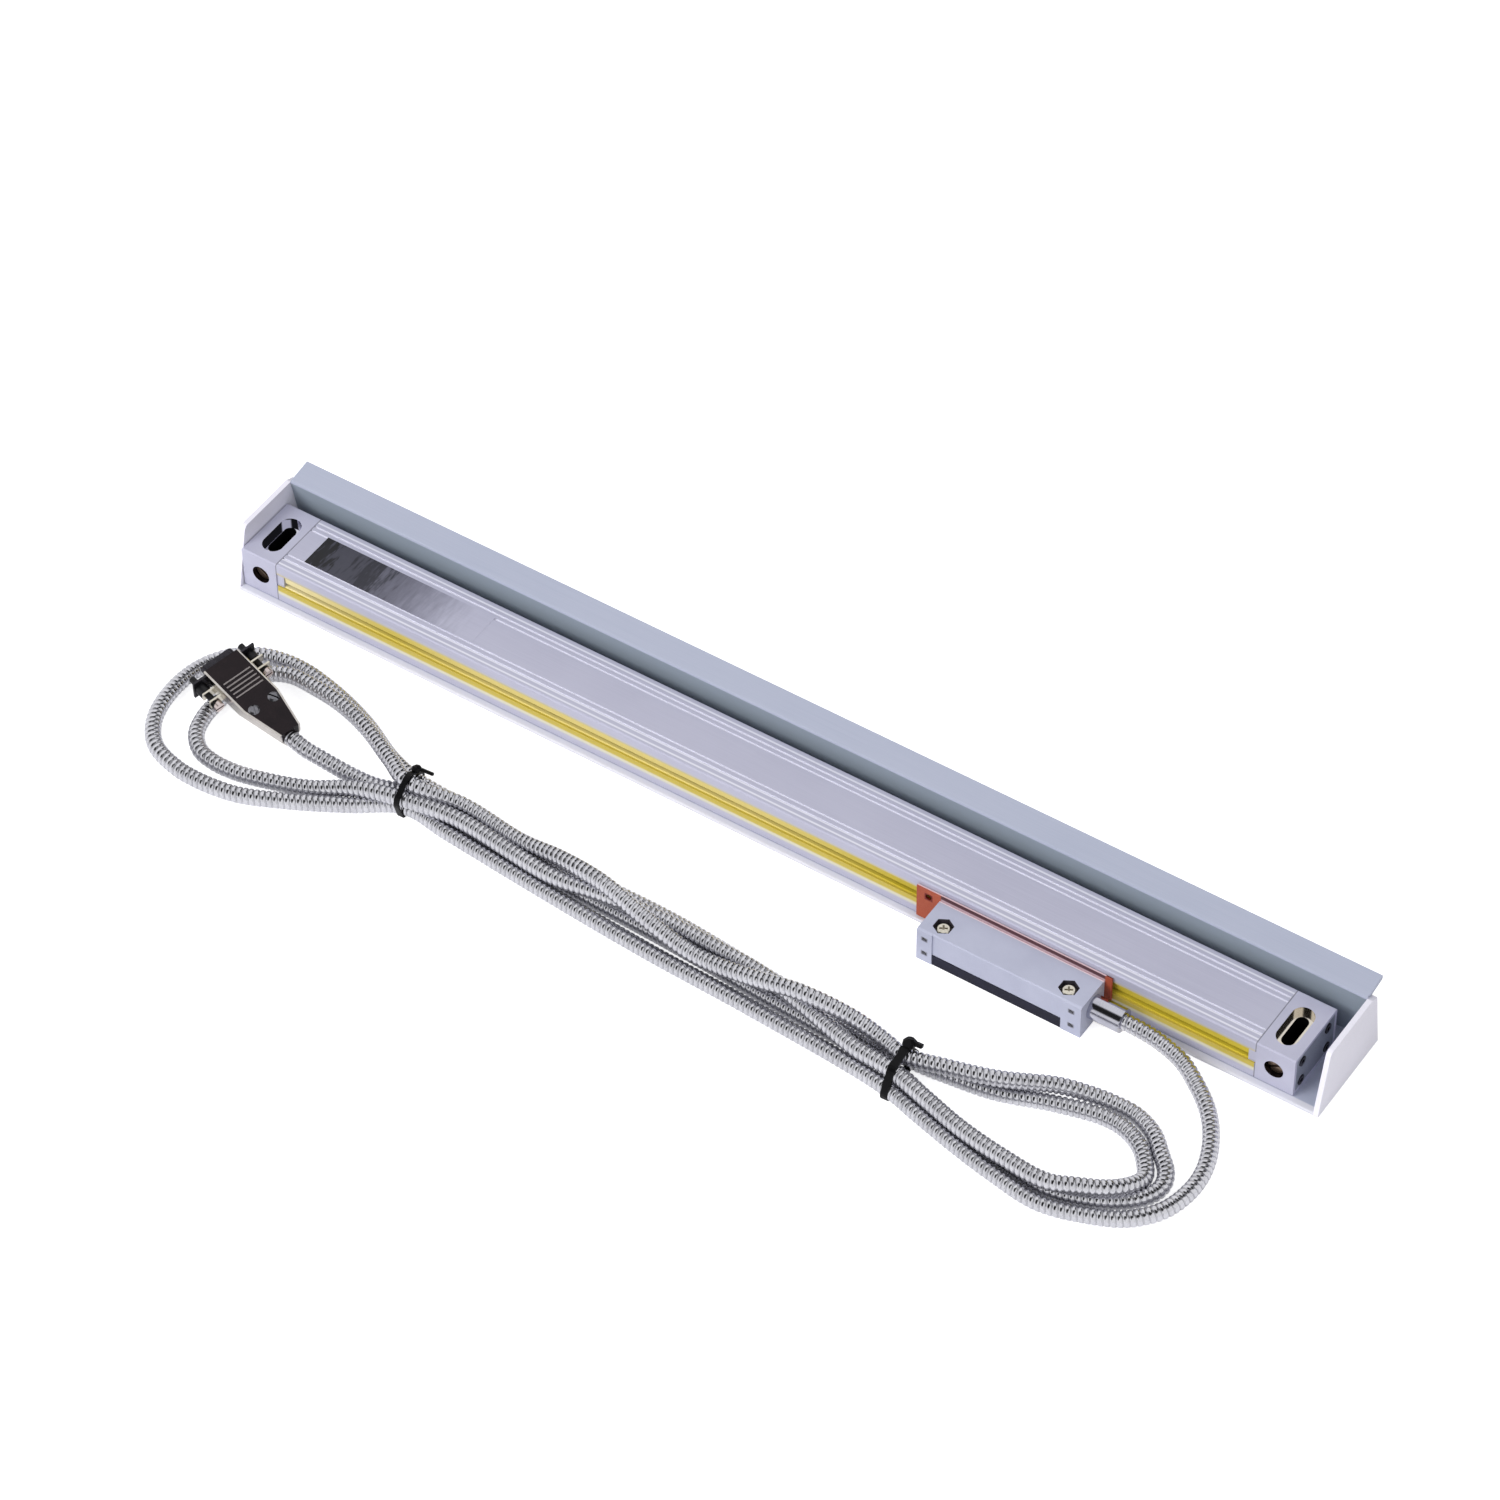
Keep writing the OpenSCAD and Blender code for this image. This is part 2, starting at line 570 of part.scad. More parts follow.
module alignment_bracket() color([0.8, 0.32, 0.2]) placed() difference() {
  block([head_x0 - bracket_left, head_back, bracket_z], [head_x1 + bracket_right, head_back + bracket_t,
      bracket_z + bracket_h]);
  bar_y(head_x0 - bracket_left / 2, head_back - 1, bracket_z + bracket_h - 4.2, 1.4, 4);
  block([head_cx - blade_len / 2 - 0.6, head_back - 1, slit - blade_t / 2 - 0.5],
      [head_cx + blade_len / 2 + 0.6, 0, slit + blade_t / 2 + 0.5]);
  for (x = bracket_screw_x) {
    bar_y(x, head_back - 1, bracket_screw_z, 0.8 + seat_gap, 3);
    translate([x, head_back - eps, bracket_screw_z]) rotate([-90, 0, 0])
      cylinder(h = bracket_t + 2 * eps, r1 = 0.8 + seat_gap, r2 = 1.7 + seat_gap);
  }
}

module bracket_screws() color([0.6, 0.6, 0.62]) placed() for (x = bracket_screw_x) {
  bar_y(x, head_back - 4, bracket_screw_z, 0.8, 4 + eps);
  translate([x, head_back, bracket_screw_z]) rotate([-90, 0, 0])
      cylinder(h = bracket_t, r1 = 0.8, r2 = 1.7);
}

// blade: lens-shaped where it passes the lips, flat inside the head
module transfer_blade() color([0.78, 0.78, 0.8]) placed() difference() {
  union() {
    along_y(head_back, cav_y0 + 0.4 - head_back)
        polygon([[head_cx - blade_len / 2, slit], [head_cx - blade_len / 3, slit - blade_t / 2],
      [head_cx + blade_len / 3, slit - blade_t / 2], [head_cx + blade_len / 2, slit],
      [head_cx + blade_len / 3, slit + blade_t / 2], [head_cx - blade_len / 3, slit + blade_t / 2]]);
    block([head_cx - blade_len / 2, head_back - blade_in, slit - blade_t / 2],
        [head_cx + blade_len / 2, head_back + eps, slit + blade_t / 2]);
    block([head_cx - coupling_x - 1.5, cav_y0 + 0.2, slit - 1.6],
        [head_cx - coupling_x + 1.5, wire_y + 1, slit + 1.6]);
  }
  for (s = [-1, 1]) translate([head_cx + s * blade_screw_dx, blade_screw_y, slit - 3])
      cylinder(h = 6, r = 1);
  bar_x(head_cx - coupling_x - 3, wire_y, slit, wire_r, 6);
}

module blade_screws() color([0.6, 0.6, 0.62]) placed() for (s = [-1, 1])
  translate([head_cx + s * blade_screw_dx, blade_screw_y, 0]) {
    translate([0, 0, slit - blade_t / 2 - 1.2]) cylinder(h = 1.2, r = 1.8);
    translate([0, 0, slit - blade_t / 2 - eps]) cylinder(h = blade_t + 3, r = 1);
  }

// ---------------------------------------------------------------- carriage
// the carriage's frame of reference is the middle of the head
module at_head() translate([head_cx, 0, 0]) children();

module carriage_frame() color([0.75, 0.75, 0.78]) placed() at_head() difference() {
  union() {
    block([-carriage_len / 2, car_y0, car_lo0], [carriage_len / 2, car_y0 + spine_t, car_up1]);
    block([-carriage_len / 2, car_y0, car_up0], [carriage_len / 2, car_y1, car_up1]);
    block([-carriage_len / 2, car_y0, car_lo0], [carriage_len / 2, car_y1, car_lo1]);
    block([coupling_x - 1.5, wire_y - 1, slit - 1.6], [coupling_x + 1.5, car_y0 + eps, slit + 1.6]);
  }
  for (x = face_x) {
    block([x - roller_slot / 2, face_y - roller_w / 2 - 0.2, car_up0 - 1],
        [x + roller_slot / 2, face_y + roller_w / 2 + 0.2, car_up1 + 1]);
    bar_y(x, car_y0 + spine_t, face_z, axle_r, car_y1 - car_y0 - spine_t + 1);
  }
  for (x = edge_x) translate([x, edge_y, car_lo0 - 1]) cylinder(h = car_up1 - car_lo0 + 2, r = axle_r);
  translate([optic_x, optic_y, car_up0 - 1]) cylinder(h = 3, r = 2.3);
  translate([optic_x, optic_y, car_up0 - 1]) cylinder(h = 8, r = 1.5);
  block([optic_x - 5, optic_y - optic_half, car_lo1 - 3.2],
      [optic_x + 5, optic_y + optic_half, car_lo1 + 1]);
  bar_x(coupling_x - 3, wire_y, slit, wire_r, 6);
}

module coupling_wire() color([0.7, 0.72, 0.75]) placed() at_head()
  bar_x(-coupling_x - 1.5, wire_y, slit, wire_r, 2 * coupling_x + 3);

module led_emitter() color([0.9, 0.4, 0.35, 0.7]) placed() at_head() translate([optic_x, optic_y, 0]) {
  translate([0, 0, car_up0 + 2.2]) cylinder(h = car_up1 - car_up0 - 2.2 - 0.1, r = 1.5);
}

module collimator_lens() color([0.9, 0.95, 0.97, 0.5]) placed() at_head()
    translate([optic_x, optic_y, car_up0])
  rotate_extrude() polygon(concat([[0, 0], [2.3, 0], [2.3, 0.9]],
      [for (a = [60 : -15 : 0]) [2.3 * sin(a) / sin(60), 0.9 + 0.9 * (cos(a) - cos(60)) / (1 - cos(60))]]));

module index_grating() color([0.8, 0.9, 0.88, 0.6]) placed() at_head()
  block([optic_x - 5, optic_y - optic_half, car_lo1 - 0.9], [optic_x + 5, optic_y + optic_half, car_lo1]);

module sensor_board() color([0.1, 0.35, 0.25]) placed() at_head() {
  block([optic_x - 5, optic_y - optic_half, car_lo1 - 3.2],
      [optic_x + 5, optic_y + optic_half, car_lo1 - 2.2]);
  block([optic_x - 3, optic_y - optic_half + 1.2, car_lo1 - 2.2 - eps],
      [optic_x + 3, optic_y + optic_half - 1.2, car_lo1 - 0.9]);
}

module roller_axles() color([0.6, 0.6, 0.62]) placed() at_head() {
  for (x = face_x) bar_y(x, car_y0 + spine_t, face_z, axle_r, car_y1 - car_y0 - spine_t);
  for (x = edge_x) translate([x, edge_y, car_lo0]) cylinder(h = car_up1 - car_lo0, r = axle_r);
}

module face_roller(i) color([0.5, 0.5, 0.53]) placed() at_head() difference() {
  bar_y(face_x[i], face_y - roller_w / 2, face_z, roller_r, roller_w);
  bar_y(face_x[i], face_y - roller_w, face_z, axle_r + run, 2 * roller_w);
}
module face_roller_left() face_roller(0);
module face_roller_middle() face_roller(1);
module face_roller_right() face_roller(2);

module edge_roller(i) color([0.5, 0.5, 0.53]) placed() at_head()
    translate([edge_x[i], edge_y, edge_z - roller_w / 2]) difference() {
  cylinder(h = roller_w, r = roller_r);
  translate([0, 0, -1]) cylinder(h = roller_w + 2, r = axle_r + run);
}
module edge_roller_left() edge_roller(0);
module edge_roller_right() edge_roller(1);

// ---------------------------------------------------------------- lead
// a tube of eight sides swept along a route
function unit(v) = v / norm(v);
function route_dir(p, i) = unit(p[min(i + 1, len(p) - 1)] - p[max(i - 1, 0)]);
function side_dir(t) = unit(cross(t, [0, 0, 1]));
function ring(p, i, r, n) = let (t = route_dir(p, i), s = side_dir(t), u = cross(s, t))
  [for (k = [0 : n - 1]) p[i] + r * cos(360 * k / n) * s + r * sin(360 * k / n) * u];

module swept_tube(p, r, n) polyhedron(
  points = [for (i = [0 : len(p) - 1]) each ring(p, i, r, n)],
  faces = concat([[for (k = [0 : n - 1]) k]], [[for (k = [n - 1 : -1 : 0]) (len(p) - 1) * n + k]],
    [for (i = [0 : len(p) - 2]) for (k = [0 : n - 1]) let (a = i * n + k, b = i * n + (k + 1) % n)
      each [[a, a + n, b], [b, a + n, b + n]]]), convexity = 6);

// puts the lead, the hank and the connector beside the head, wherever it rests
module at_lead() placed() translate([head_x1 - 416, 0, 0]) children();

module cable_ferrule() color([0.25, 0.25, 0.3]) placed() difference() {
  union() {
    bar_x(head_x1, gland_y, gland_z, gland_d / 2, gland_len);
    bar_x(head_x1 - 4, gland_y, gland_z, gland_d / 2 - 1.4, 4 + eps);
  }
  bar_x(head_x1 - 5, gland_y, gland_z, 2.2, gland_len + 6);
}

module lead_tube() color([0.7, 0.71, 0.74]) at_lead() swept_tube(lead_route, hose_d / 2, 12);
module pigtail_tube() color([0.7, 0.71, 0.74]) at_lead() swept_tube(pigtail_route, hose_d / 2, 12);

// outline of one strand of the hank, as wide as the hose
function flat_dir(p, i) = unit(p[min(i + 1, len(p) - 1)] - p[max(i - 1, 0)]);
function flat_side(p, i) = let (t = flat_dir(p, i)) [-t[1], t[0]];
function strand_outline(p, r) = concat([for (i = [0 : len(p) - 1]) p[i] + r * flat_side(p, i)],
  [for (i = [len(p) - 1 : -1 : 0]) p[i] - r * flat_side(p, i)]);

module hank_solid() difference() {
  union() {
    for (p = [left_outer, left_inner, right_outer, right_inner, lead_in])
      linear_extrude(height = strand_h) polygon(strand_outline(p, hose_d / 2));
    linear_extrude(height = strand_h) polygon(bundle_low);
    linear_extrude(height = pile_h) polygon(bundle_high);
  }
  for (t = ties) tie_place(t) translate([-tie_w / 2, -20, -1]) cube([tie_w, 40, 1 + tie_t]);
}
module cable_hank() color([0.68, 0.69, 0.72]) at_lead() hank_solid();

// cable ties: each is a strap round the bundle with its head on top
tie_w = 2.4;
tie_t = 1;
ties = [[129, -62.3, 4, 18.6], [372, -74.8, 4, 24.6]];
module tie_place(t) translate([t[0], t[1], 0]) rotate([0, 0, t[2]]) children();
module cable_tie(t) difference() {
  tie_place(t) {
    difference() {
      translate([-tie_w / 2, -t[3] / 2 - tie_t, 0]) cube([tie_w, t[3] + 2 * tie_t, pile_h + tie_t]);
      translate([-tie_w, -t[3] / 2, tie_t]) cube([2 * tie_w, t[3], pile_h - tie_t]);
    }
    translate([-2.4, 1, pile_h + tie_t - eps]) cube([4.8, 5, 2.6]);
    translate([-0.8, 2.2, pile_h + tie_t + 2.6 - 2 * eps]) cube([1.6, 1.2, 3]);
  }
  translate([0, 0, -eps]) hank_solid();
}
module left_cable_tie() color([0.06, 0.06, 0.07]) at_lead() cable_tie(ties[0]);
module right_cable_tie() color([0.06, 0.06, 0.07]) at_lead() cable_tie(ties[1]);

// ---------------------------------------------------------------- connector
module at_hood() at_lead() translate(hood_pos) rotate([hood_roll, hood_pitch, hood_yaw]) children();

// puts its children on both sides of the hood, the second as a mirror image
module both_sides() {
  children();
  mirror([0, 1, 0]) children();
}

// extrudes an outline drawn across v and w, measured from the hood's middle, along u
module along_u(u0, len) translate([u0, 0, hood_h / 2]) rotate([90, 0, 90]) linear_extrude(height = len)
    children();

// a cylinder along u that starts at u0
module bar_u(u0, v, w, r, len) translate([u0, v, w]) rotate([0, 90, 0]) cylinder(h = len, r = r);

// plan of the hood inside its surface by an inset, narrower towards the lead
module hood_2d(inset) {
  a = hood_w / 2 - inset;
  b = hood_tail_w / 2 - inset;
  polygon([[0, -a], [hood_flat, -a], [hood_len, -b], [hood_len, b], [hood_flat, a], [0, a]]);
}

// section of the hood at a depth below its surface: chamfered underneath, edges broken on top
module hood_section_2d(depth) {
  a = hood_w / 2 - depth;
  b = hood_w / 2 - hood_chamfer - 0.55 * depth;
  h = hood_h / 2 - depth;
  polygon([[-b, -h], [b, -h], [a, -0.6], [a, h - 0.3], [a - 0.3, h], [0.3 - a, h], [-a, h - 0.3],
      [-a, -0.6]]);
}

// the tail's underside leans in on both sides and rises towards the lead
tail_angle = atan((hood_w - hood_tail_w) / 2 / (hood_len - hood_flat));
module hood_body() difference() {
  intersection() {
    linear_extrude(height = hood_h) hood_2d(0);
    along_u(0, hood_len) hood_section_2d(0);
  }
  both_sides() translate([hood_flat, hood_w / 2, hood_h - 4.6]) rotate([0, 0, -tail_angle])
      rotate([-28, 0, 0])
    translate([-3, 0, -12]) cube([30, 10, 12]);
  translate([hood_flat - 2, -10, 0]) rotate([0, -4, 0]) translate([0, 0, -5]) cube([30, 20, 5]);
}

// the hollow for the contacts, the opening in front, the flange's slot and the lead's bore
module hood_inside() {
  along_u(flange_u, hood_flat - flange_u - 2) hood_section_2d(hood_wall);
  along_u(-1, flange_u + 1 + eps) square([shell_w + 0.4, shell_h + 0.2], center = true);
  along_u(flange_u, flange_t) square([ear_w, ear_h], center = true);
  translate([hood_flat - 4, -3.2, 2.6]) cube([hood_len - hood_flat - 4, 6.4, hood_h - 5.2]);
  bar_u(hood_len - 9, 0, hood_h / 2, hose_d / 2, 12);
}
hood_screw_u = hood_flat + 2;
hood_screw_v = 5;

// the room of the dark cover, between the tray's rails
module cover_room() translate([0, 0, hood_h / 2]) linear_extrude(height = hood_h) hood_2d(rail_t);

module hood_lower() color([0.75, 0.75, 0.77]) at_hood() difference() {
  hood_body();
  cover_room();
  hood_inside();
  both_sides() translate([hood_screw_u, hood_screw_v, 2.8]) cylinder(h = 20, r = 1.1 + seat_gap);
}

// cover with five ridges to grip it by
ridge_pitch = 2.1;
module hood_upper() color([0.16, 0.12, 0.13]) at_hood() difference() {
  union() {
    intersection() {
      hood_body();
      cover_room();
    }
    for (i = [0 : 4]) translate([10.5 + ridge_pitch * i, -6.8, hood_h - eps]) rotate([-90, 0, 0])
      linear_extrude(height = 13.6) polygon([[-0.6, 0], [0.6, 0], [0.25, -0.45], [-0.25, -0.45]]);
  }
  hood_inside();
  both_sides() translate([hood_screw_u, hood_screw_v, 0]) {
    cylinder(h = 20, r = 1.1 + seat_gap);
    translate([0, 0, hood_h - 1.2]) cylinder(h = 5, r = 2.4 + seat_gap);
  }
}

module hood_screws() color([0.75, 0.75, 0.77]) at_hood() both_sides()
  translate([hood_screw_u, hood_screw_v, 0]) difference() {
    union() {
      translate([0, 0, 3]) cylinder(h = hood_h - 4.2 + eps, r = 1.1);
      translate([0, 0, hood_h - 1.2]) cylinder(h = 1.3, r = 2.4);
      translate([0, 0, hood_h + 0.1 - eps]) cylinder(h = 0.5, r1 = 2.4, r2 = 1.6);
    }
    rotate([0, 0, 25]) translate([-2.5, -0.35, hood_h - 0.4]) cube([5, 0.7, 2]);
  }

// points along an arc
function arc(c, r, a0, a1, n) = [for (i = [0 : n])
    c + r * [cos(a0 + (a1 - a0) * i / n), sin(a0 + (a1 - a0) * i / n)]];

// D-shaped outline of the connector's shell
module shell_2d(w, h) {
  r = 2.2;
  top = w / 2 - r;
  low = w / 2 - r - 1.3;
  polygon(concat(arc([top, h / 2 - r], r, 0, 90, 5), arc([-top, h / 2 - r], r, 90, 180, 5),
    arc([-low, -h / 2 + r], r, 190, 270, 5), arc([low, -h / 2 + r], r, 270, 350, 5)));
}

module connector_shell() color([0.4, 0.4, 0.42]) at_hood() difference() {
  union() {
    along_u(-3.4, flange_u + 3.4 + eps) shell_2d(shell_w, shell_h);
    along_u(flange_u, flange_t) difference() {
      square([ear_w, ear_h], center = true);
      for (s = [-1, 1]) translate([s * jack_spacing / 2, 0]) circle(r = jack_r + run);
    }
    for (i = [-2 : 2]) for (s = [-1, 1])
      bar_u(-1.5, 2.7 * i, hood_h / 2 + s * (shell_h / 2 - 0.1), 0.5, 1.6);
  }
  along_u(-4, flange_u + flange_t + 5) shell_2d(shell_w - 1, shell_h - 1);
}

// nine contacts in two rows, five above four
pin_pitch = 2.77;
pin_rows = [[for (i = [-2 : 2]) [i * pin_pitch, 1.42]], [for (i = [-1.5 : 1.5]) [i * pin_pitch, -1.42]]];
module pins(u0, len) for (row = pin_rows) for (p = row)
  translate([u0, p[0], hood_h / 2 + p[1]]) rotate([0, 90, 0]) cylinder(h = len, r = 0.5, $fn = 16);

module connector_insulator() color([0.08, 0.08, 0.09]) at_hood() difference() {
  union() {
    along_u(0.4, flange_u + flange_t - 0.4 + eps) shell_2d(shell_w - 1, shell_h - 1);
    along_u(flange_u + flange_t, 4.6) polygon([[-4.2, -3.2], [4.2, -3.2], [6.6, 3.2], [-6.6, 3.2]]);
  }
  pins(-7, 18);
}
module connector_pins() color([0.85, 0.7, 0.3]) at_hood() pins(-2.9, 13);

// bent clips on the hood's sides, in which the two screws turn
clip_u = 7;
clip_len = 5.4;
module screw_clips() color([0.8, 0.78, 0.72]) at_hood() both_sides() difference() {
  block([clip_u, hood_w / 2, hood_h / 2 - 0.6], [clip_u + clip_len, jack_spacing / 2 + 2.8, hood_h - 2.1]);
  block([clip_u + 0.8, hood_w / 2 + 0.8, 0], [clip_u + clip_len - 0.8, hood_w, hood_h]);
  bar_u(clip_u - 1, jack_spacing / 2, hood_h / 2, jack_r + run, clip_len + 2);
}

// thread in front of the flange, collar behind it, slotted head behind the clip
module jackscrew(s) color([0.12, 0.12, 0.13]) at_hood() difference() {
  union() {
    bar_u(-3.6, s * jack_spacing / 2, hood_h / 2, jack_r, clip_u + clip_len + 4);
    bar_u(flange_u + flange_t + 0.1, s * jack_spacing / 2, hood_h / 2, 2.7, 4);
    bar_u(clip_u + clip_len + 0.1, s * jack_spacing / 2, hood_h / 2, 2.2, 2.6);
  }
  translate([clip_u + clip_len + 1.5, s * jack_spacing / 2 - 3, hood_h / 2 - 0.4]) cube([3, 6, 0.8]);
}
module near_jackscrew() jackscrew(-1);
module far_jackscrew() jackscrew(1);

// crimp ring that holds the hose inside the hood
module hood_ferrule() color([0.7, 0.7, 0.72]) at_hood() translate([hood_len - 9, 0, hood_h / 2])
    rotate([0, 90, 0]) difference() {
  cylinder(h = 6, r = hose_d / 2);
  translate([0, 0, -1]) cylinder(h = 8, r = 2);
}

housing_extrusion();
left_end_block();
right_end_block();
end_gaskets();
left_end_plate();
right_end_plate();
end_plate_screws();
port_plugs();
glass_scale();
glass_bedding();
upper_seal_lip();
lower_seal_lip();
guard_profile();
left_guard_cap();
right_guard_cap();
head_block();
head_lid();
lid_screws();
head_mounting_screws();
lug_screws();
head_circuit_board();
alignment_bracket();
bracket_screws();
transfer_blade();
blade_screws();
carriage_frame();
coupling_wire();
led_emitter();
collimator_lens();
index_grating();
sensor_board();
roller_axles();
face_roller_left();
face_roller_middle();
face_roller_right();
edge_roller_left();
edge_roller_right();
cable_ferrule();
lead_tube();
cable_hank();
pigtail_tube();
left_cable_tie();
right_cable_tie();
hood_ferrule();
hood_lower();
hood_upper();
hood_screws();
connector_shell();
connector_insulator();
connector_pins();
screw_clips();
near_jackscrew();
far_jackscrew();
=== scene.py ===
"""Looks of a sealed linear glass scale: finishes, label, armoured lead, cable ties, camera and light.

Everything is in metres in the part's own frame. Places are given as on the drawing of the part, in
millimetres from the housing's lower left front corner, and `place` turns them into that frame.
"""

import json
import logging
import math
from dataclasses import dataclass, field
from enum import Enum

import bpy
from mathutils import Matrix, Vector

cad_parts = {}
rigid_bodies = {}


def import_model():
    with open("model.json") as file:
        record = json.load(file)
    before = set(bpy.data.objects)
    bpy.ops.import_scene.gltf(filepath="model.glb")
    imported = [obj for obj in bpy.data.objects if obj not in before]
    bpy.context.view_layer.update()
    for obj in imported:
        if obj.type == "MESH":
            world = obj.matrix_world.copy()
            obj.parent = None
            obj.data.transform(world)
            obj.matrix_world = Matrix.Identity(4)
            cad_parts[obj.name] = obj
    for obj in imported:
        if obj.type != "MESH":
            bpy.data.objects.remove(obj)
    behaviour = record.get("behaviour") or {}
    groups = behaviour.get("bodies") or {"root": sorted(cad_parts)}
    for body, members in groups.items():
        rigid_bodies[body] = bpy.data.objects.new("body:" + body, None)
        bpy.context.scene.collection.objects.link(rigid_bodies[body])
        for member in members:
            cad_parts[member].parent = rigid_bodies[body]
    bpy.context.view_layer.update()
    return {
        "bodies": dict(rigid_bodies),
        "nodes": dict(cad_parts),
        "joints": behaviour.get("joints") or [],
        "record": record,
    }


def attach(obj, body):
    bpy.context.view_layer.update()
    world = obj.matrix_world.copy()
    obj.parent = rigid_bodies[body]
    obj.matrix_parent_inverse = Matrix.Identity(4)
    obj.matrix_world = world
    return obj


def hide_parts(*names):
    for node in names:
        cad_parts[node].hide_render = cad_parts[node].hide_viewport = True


LOG = logging.getLogger("glass_scale")

Tree = bpy.types.NodeTree
Node = bpy.types.Node
Socket = bpy.types.NodeSocket
# what a socket is linked to: another node's output, or a node, which stands for its first output
Source = Socket | Node

MM = 0.001
HOUSING_CORNER = Vector((-255.0, -14.25, 0.0))
HOUSING_LEN = 500.0
HOUSING_W = 32.0
HOUSING_TOP = 22.5
BLOCK_LEN = 17.0
HOSE_D = 7.0
WHITE = (1.0, 1.0, 1.0, 1.0)

# shares of the noises at which a surface starts to take its tint and has all of it
TINT_SPAN = (0.12, 0.42)
# shares of the grain between which the roughness goes from its least to its most
GRAIN_SPAN = (0.2, 0.8)
ROUGHNESS_SPREAD = 0.15
COAT_ROUGHNESS = 0.05


def place(x: float, y: float, z: float) -> Vector:
    """Turns a place on the drawing into the part's frame.

    Args:
        x: millimetres from the housing's left end.
        y: millimetres from the housing's front.
        z: millimetres above the surface that the part stands on.

    Returns:
        The place in metres in the part's frame.
    """
    return (Vector((x, y, z)) + HOUSING_CORNER) * MM


def linear(colour: str) -> tuple:
    """Turns an sRGB hex colour into linear RGBA.

    Args:
        colour: six hex digits, such as "B7B7CB".

    Returns:
        Four linear values, the last of them 1.
    """
    values = [int(colour[i:i + 2], 16) / 255 for i in (0, 2, 4)]
    return tuple(v / 12.92 if v <= 0.04045 else ((v + 0.055) / 1.055) ** 2.4 for v in values) + (1.0,)


def add_node(tree: Tree, kind: str, inputs: dict = None, **settings: object) -> Node:
    """Adds a node to a tree, sets its options, and fills or links its sockets.

    Args:
        tree: the node tree.
        kind: the node's type, such as "ShaderNodeTexNoise".
        inputs: socket name or number -> a value, an output socket, or a node for its first output.
        settings: the node's own options.

    Returns:
        The new node.
    """
    node = tree.nodes.new(kind)
    for name, value in settings.items():
        setattr(node, name, value)
    for name, value in (inputs or {}).items():
        source = value.outputs[0] if isinstance(value, Node) else value
        if isinstance(source, Socket):
            tree.links.new(source, node.inputs[name])
        else:
            node.inputs[name].default_value = source
    return node


def inside(tree: Tree, where: Source, low: tuple, high: tuple, blur: float) -> Node:
    """Mask of a box on the drawing.

    Args:
        tree: the node tree.
        where: the coordinate in the part's frame.
        low: lowest corner in millimetres, as for `place`.
        high: highest corner in millimetres.
        blur: width of the soft edge in millimetres.

    Returns:
        A node that gives 1 in the box and 0 outside.
    """
    first, last = place(*low), place(*high)
    axes = add_node(tree, "ShaderNodeSeparateXYZ", {0: where})
    mask = 1.0
    for i in range(3):
        middle = (first[i] + last[i]) / 2
        half = (last[i] - first[i]) / 2
        off = add_node(tree, "ShaderNodeMath", {0: axes.outputs[i], 1: middle}, operation="SUBTRACT")
        far = add_node(tree, "ShaderNodeMath", {0: off}, operation="ABSOLUTE")
        edge = add_node(tree, "ShaderNodeMapRange", {
            "Value": far, "From Min": half - blur * MM, "From Max": half, "To Min": 1.0, "To Max": 0.0})
        mask = add_node(tree, "ShaderNodeMath", {0: mask, 1: edge}, operation="MULTIPLY")
    return mask


class Lay(Enum):
    """How the grain of a surface lies: its scale along each axis, small where it is drawn out."""

    ALONG_X = (0.012, 1.0, 1.0)
    ALONG_Y = (1.0, 0.012, 1.0)
    EVEN = (1.0, 1.0, 1.0)


@dataclass(frozen=True)
class Ground:
    """What a finish is laid on.

    Attributes:
        tree: the material's node tree.
        where: the coordinate in the part's frame.
        grain: the fine noise, from 0 to 1.
        cloud: the broad noise, from 0 to 1.
    """

    tree: Tree
    where: Source
    grain: Source
    cloud: Source


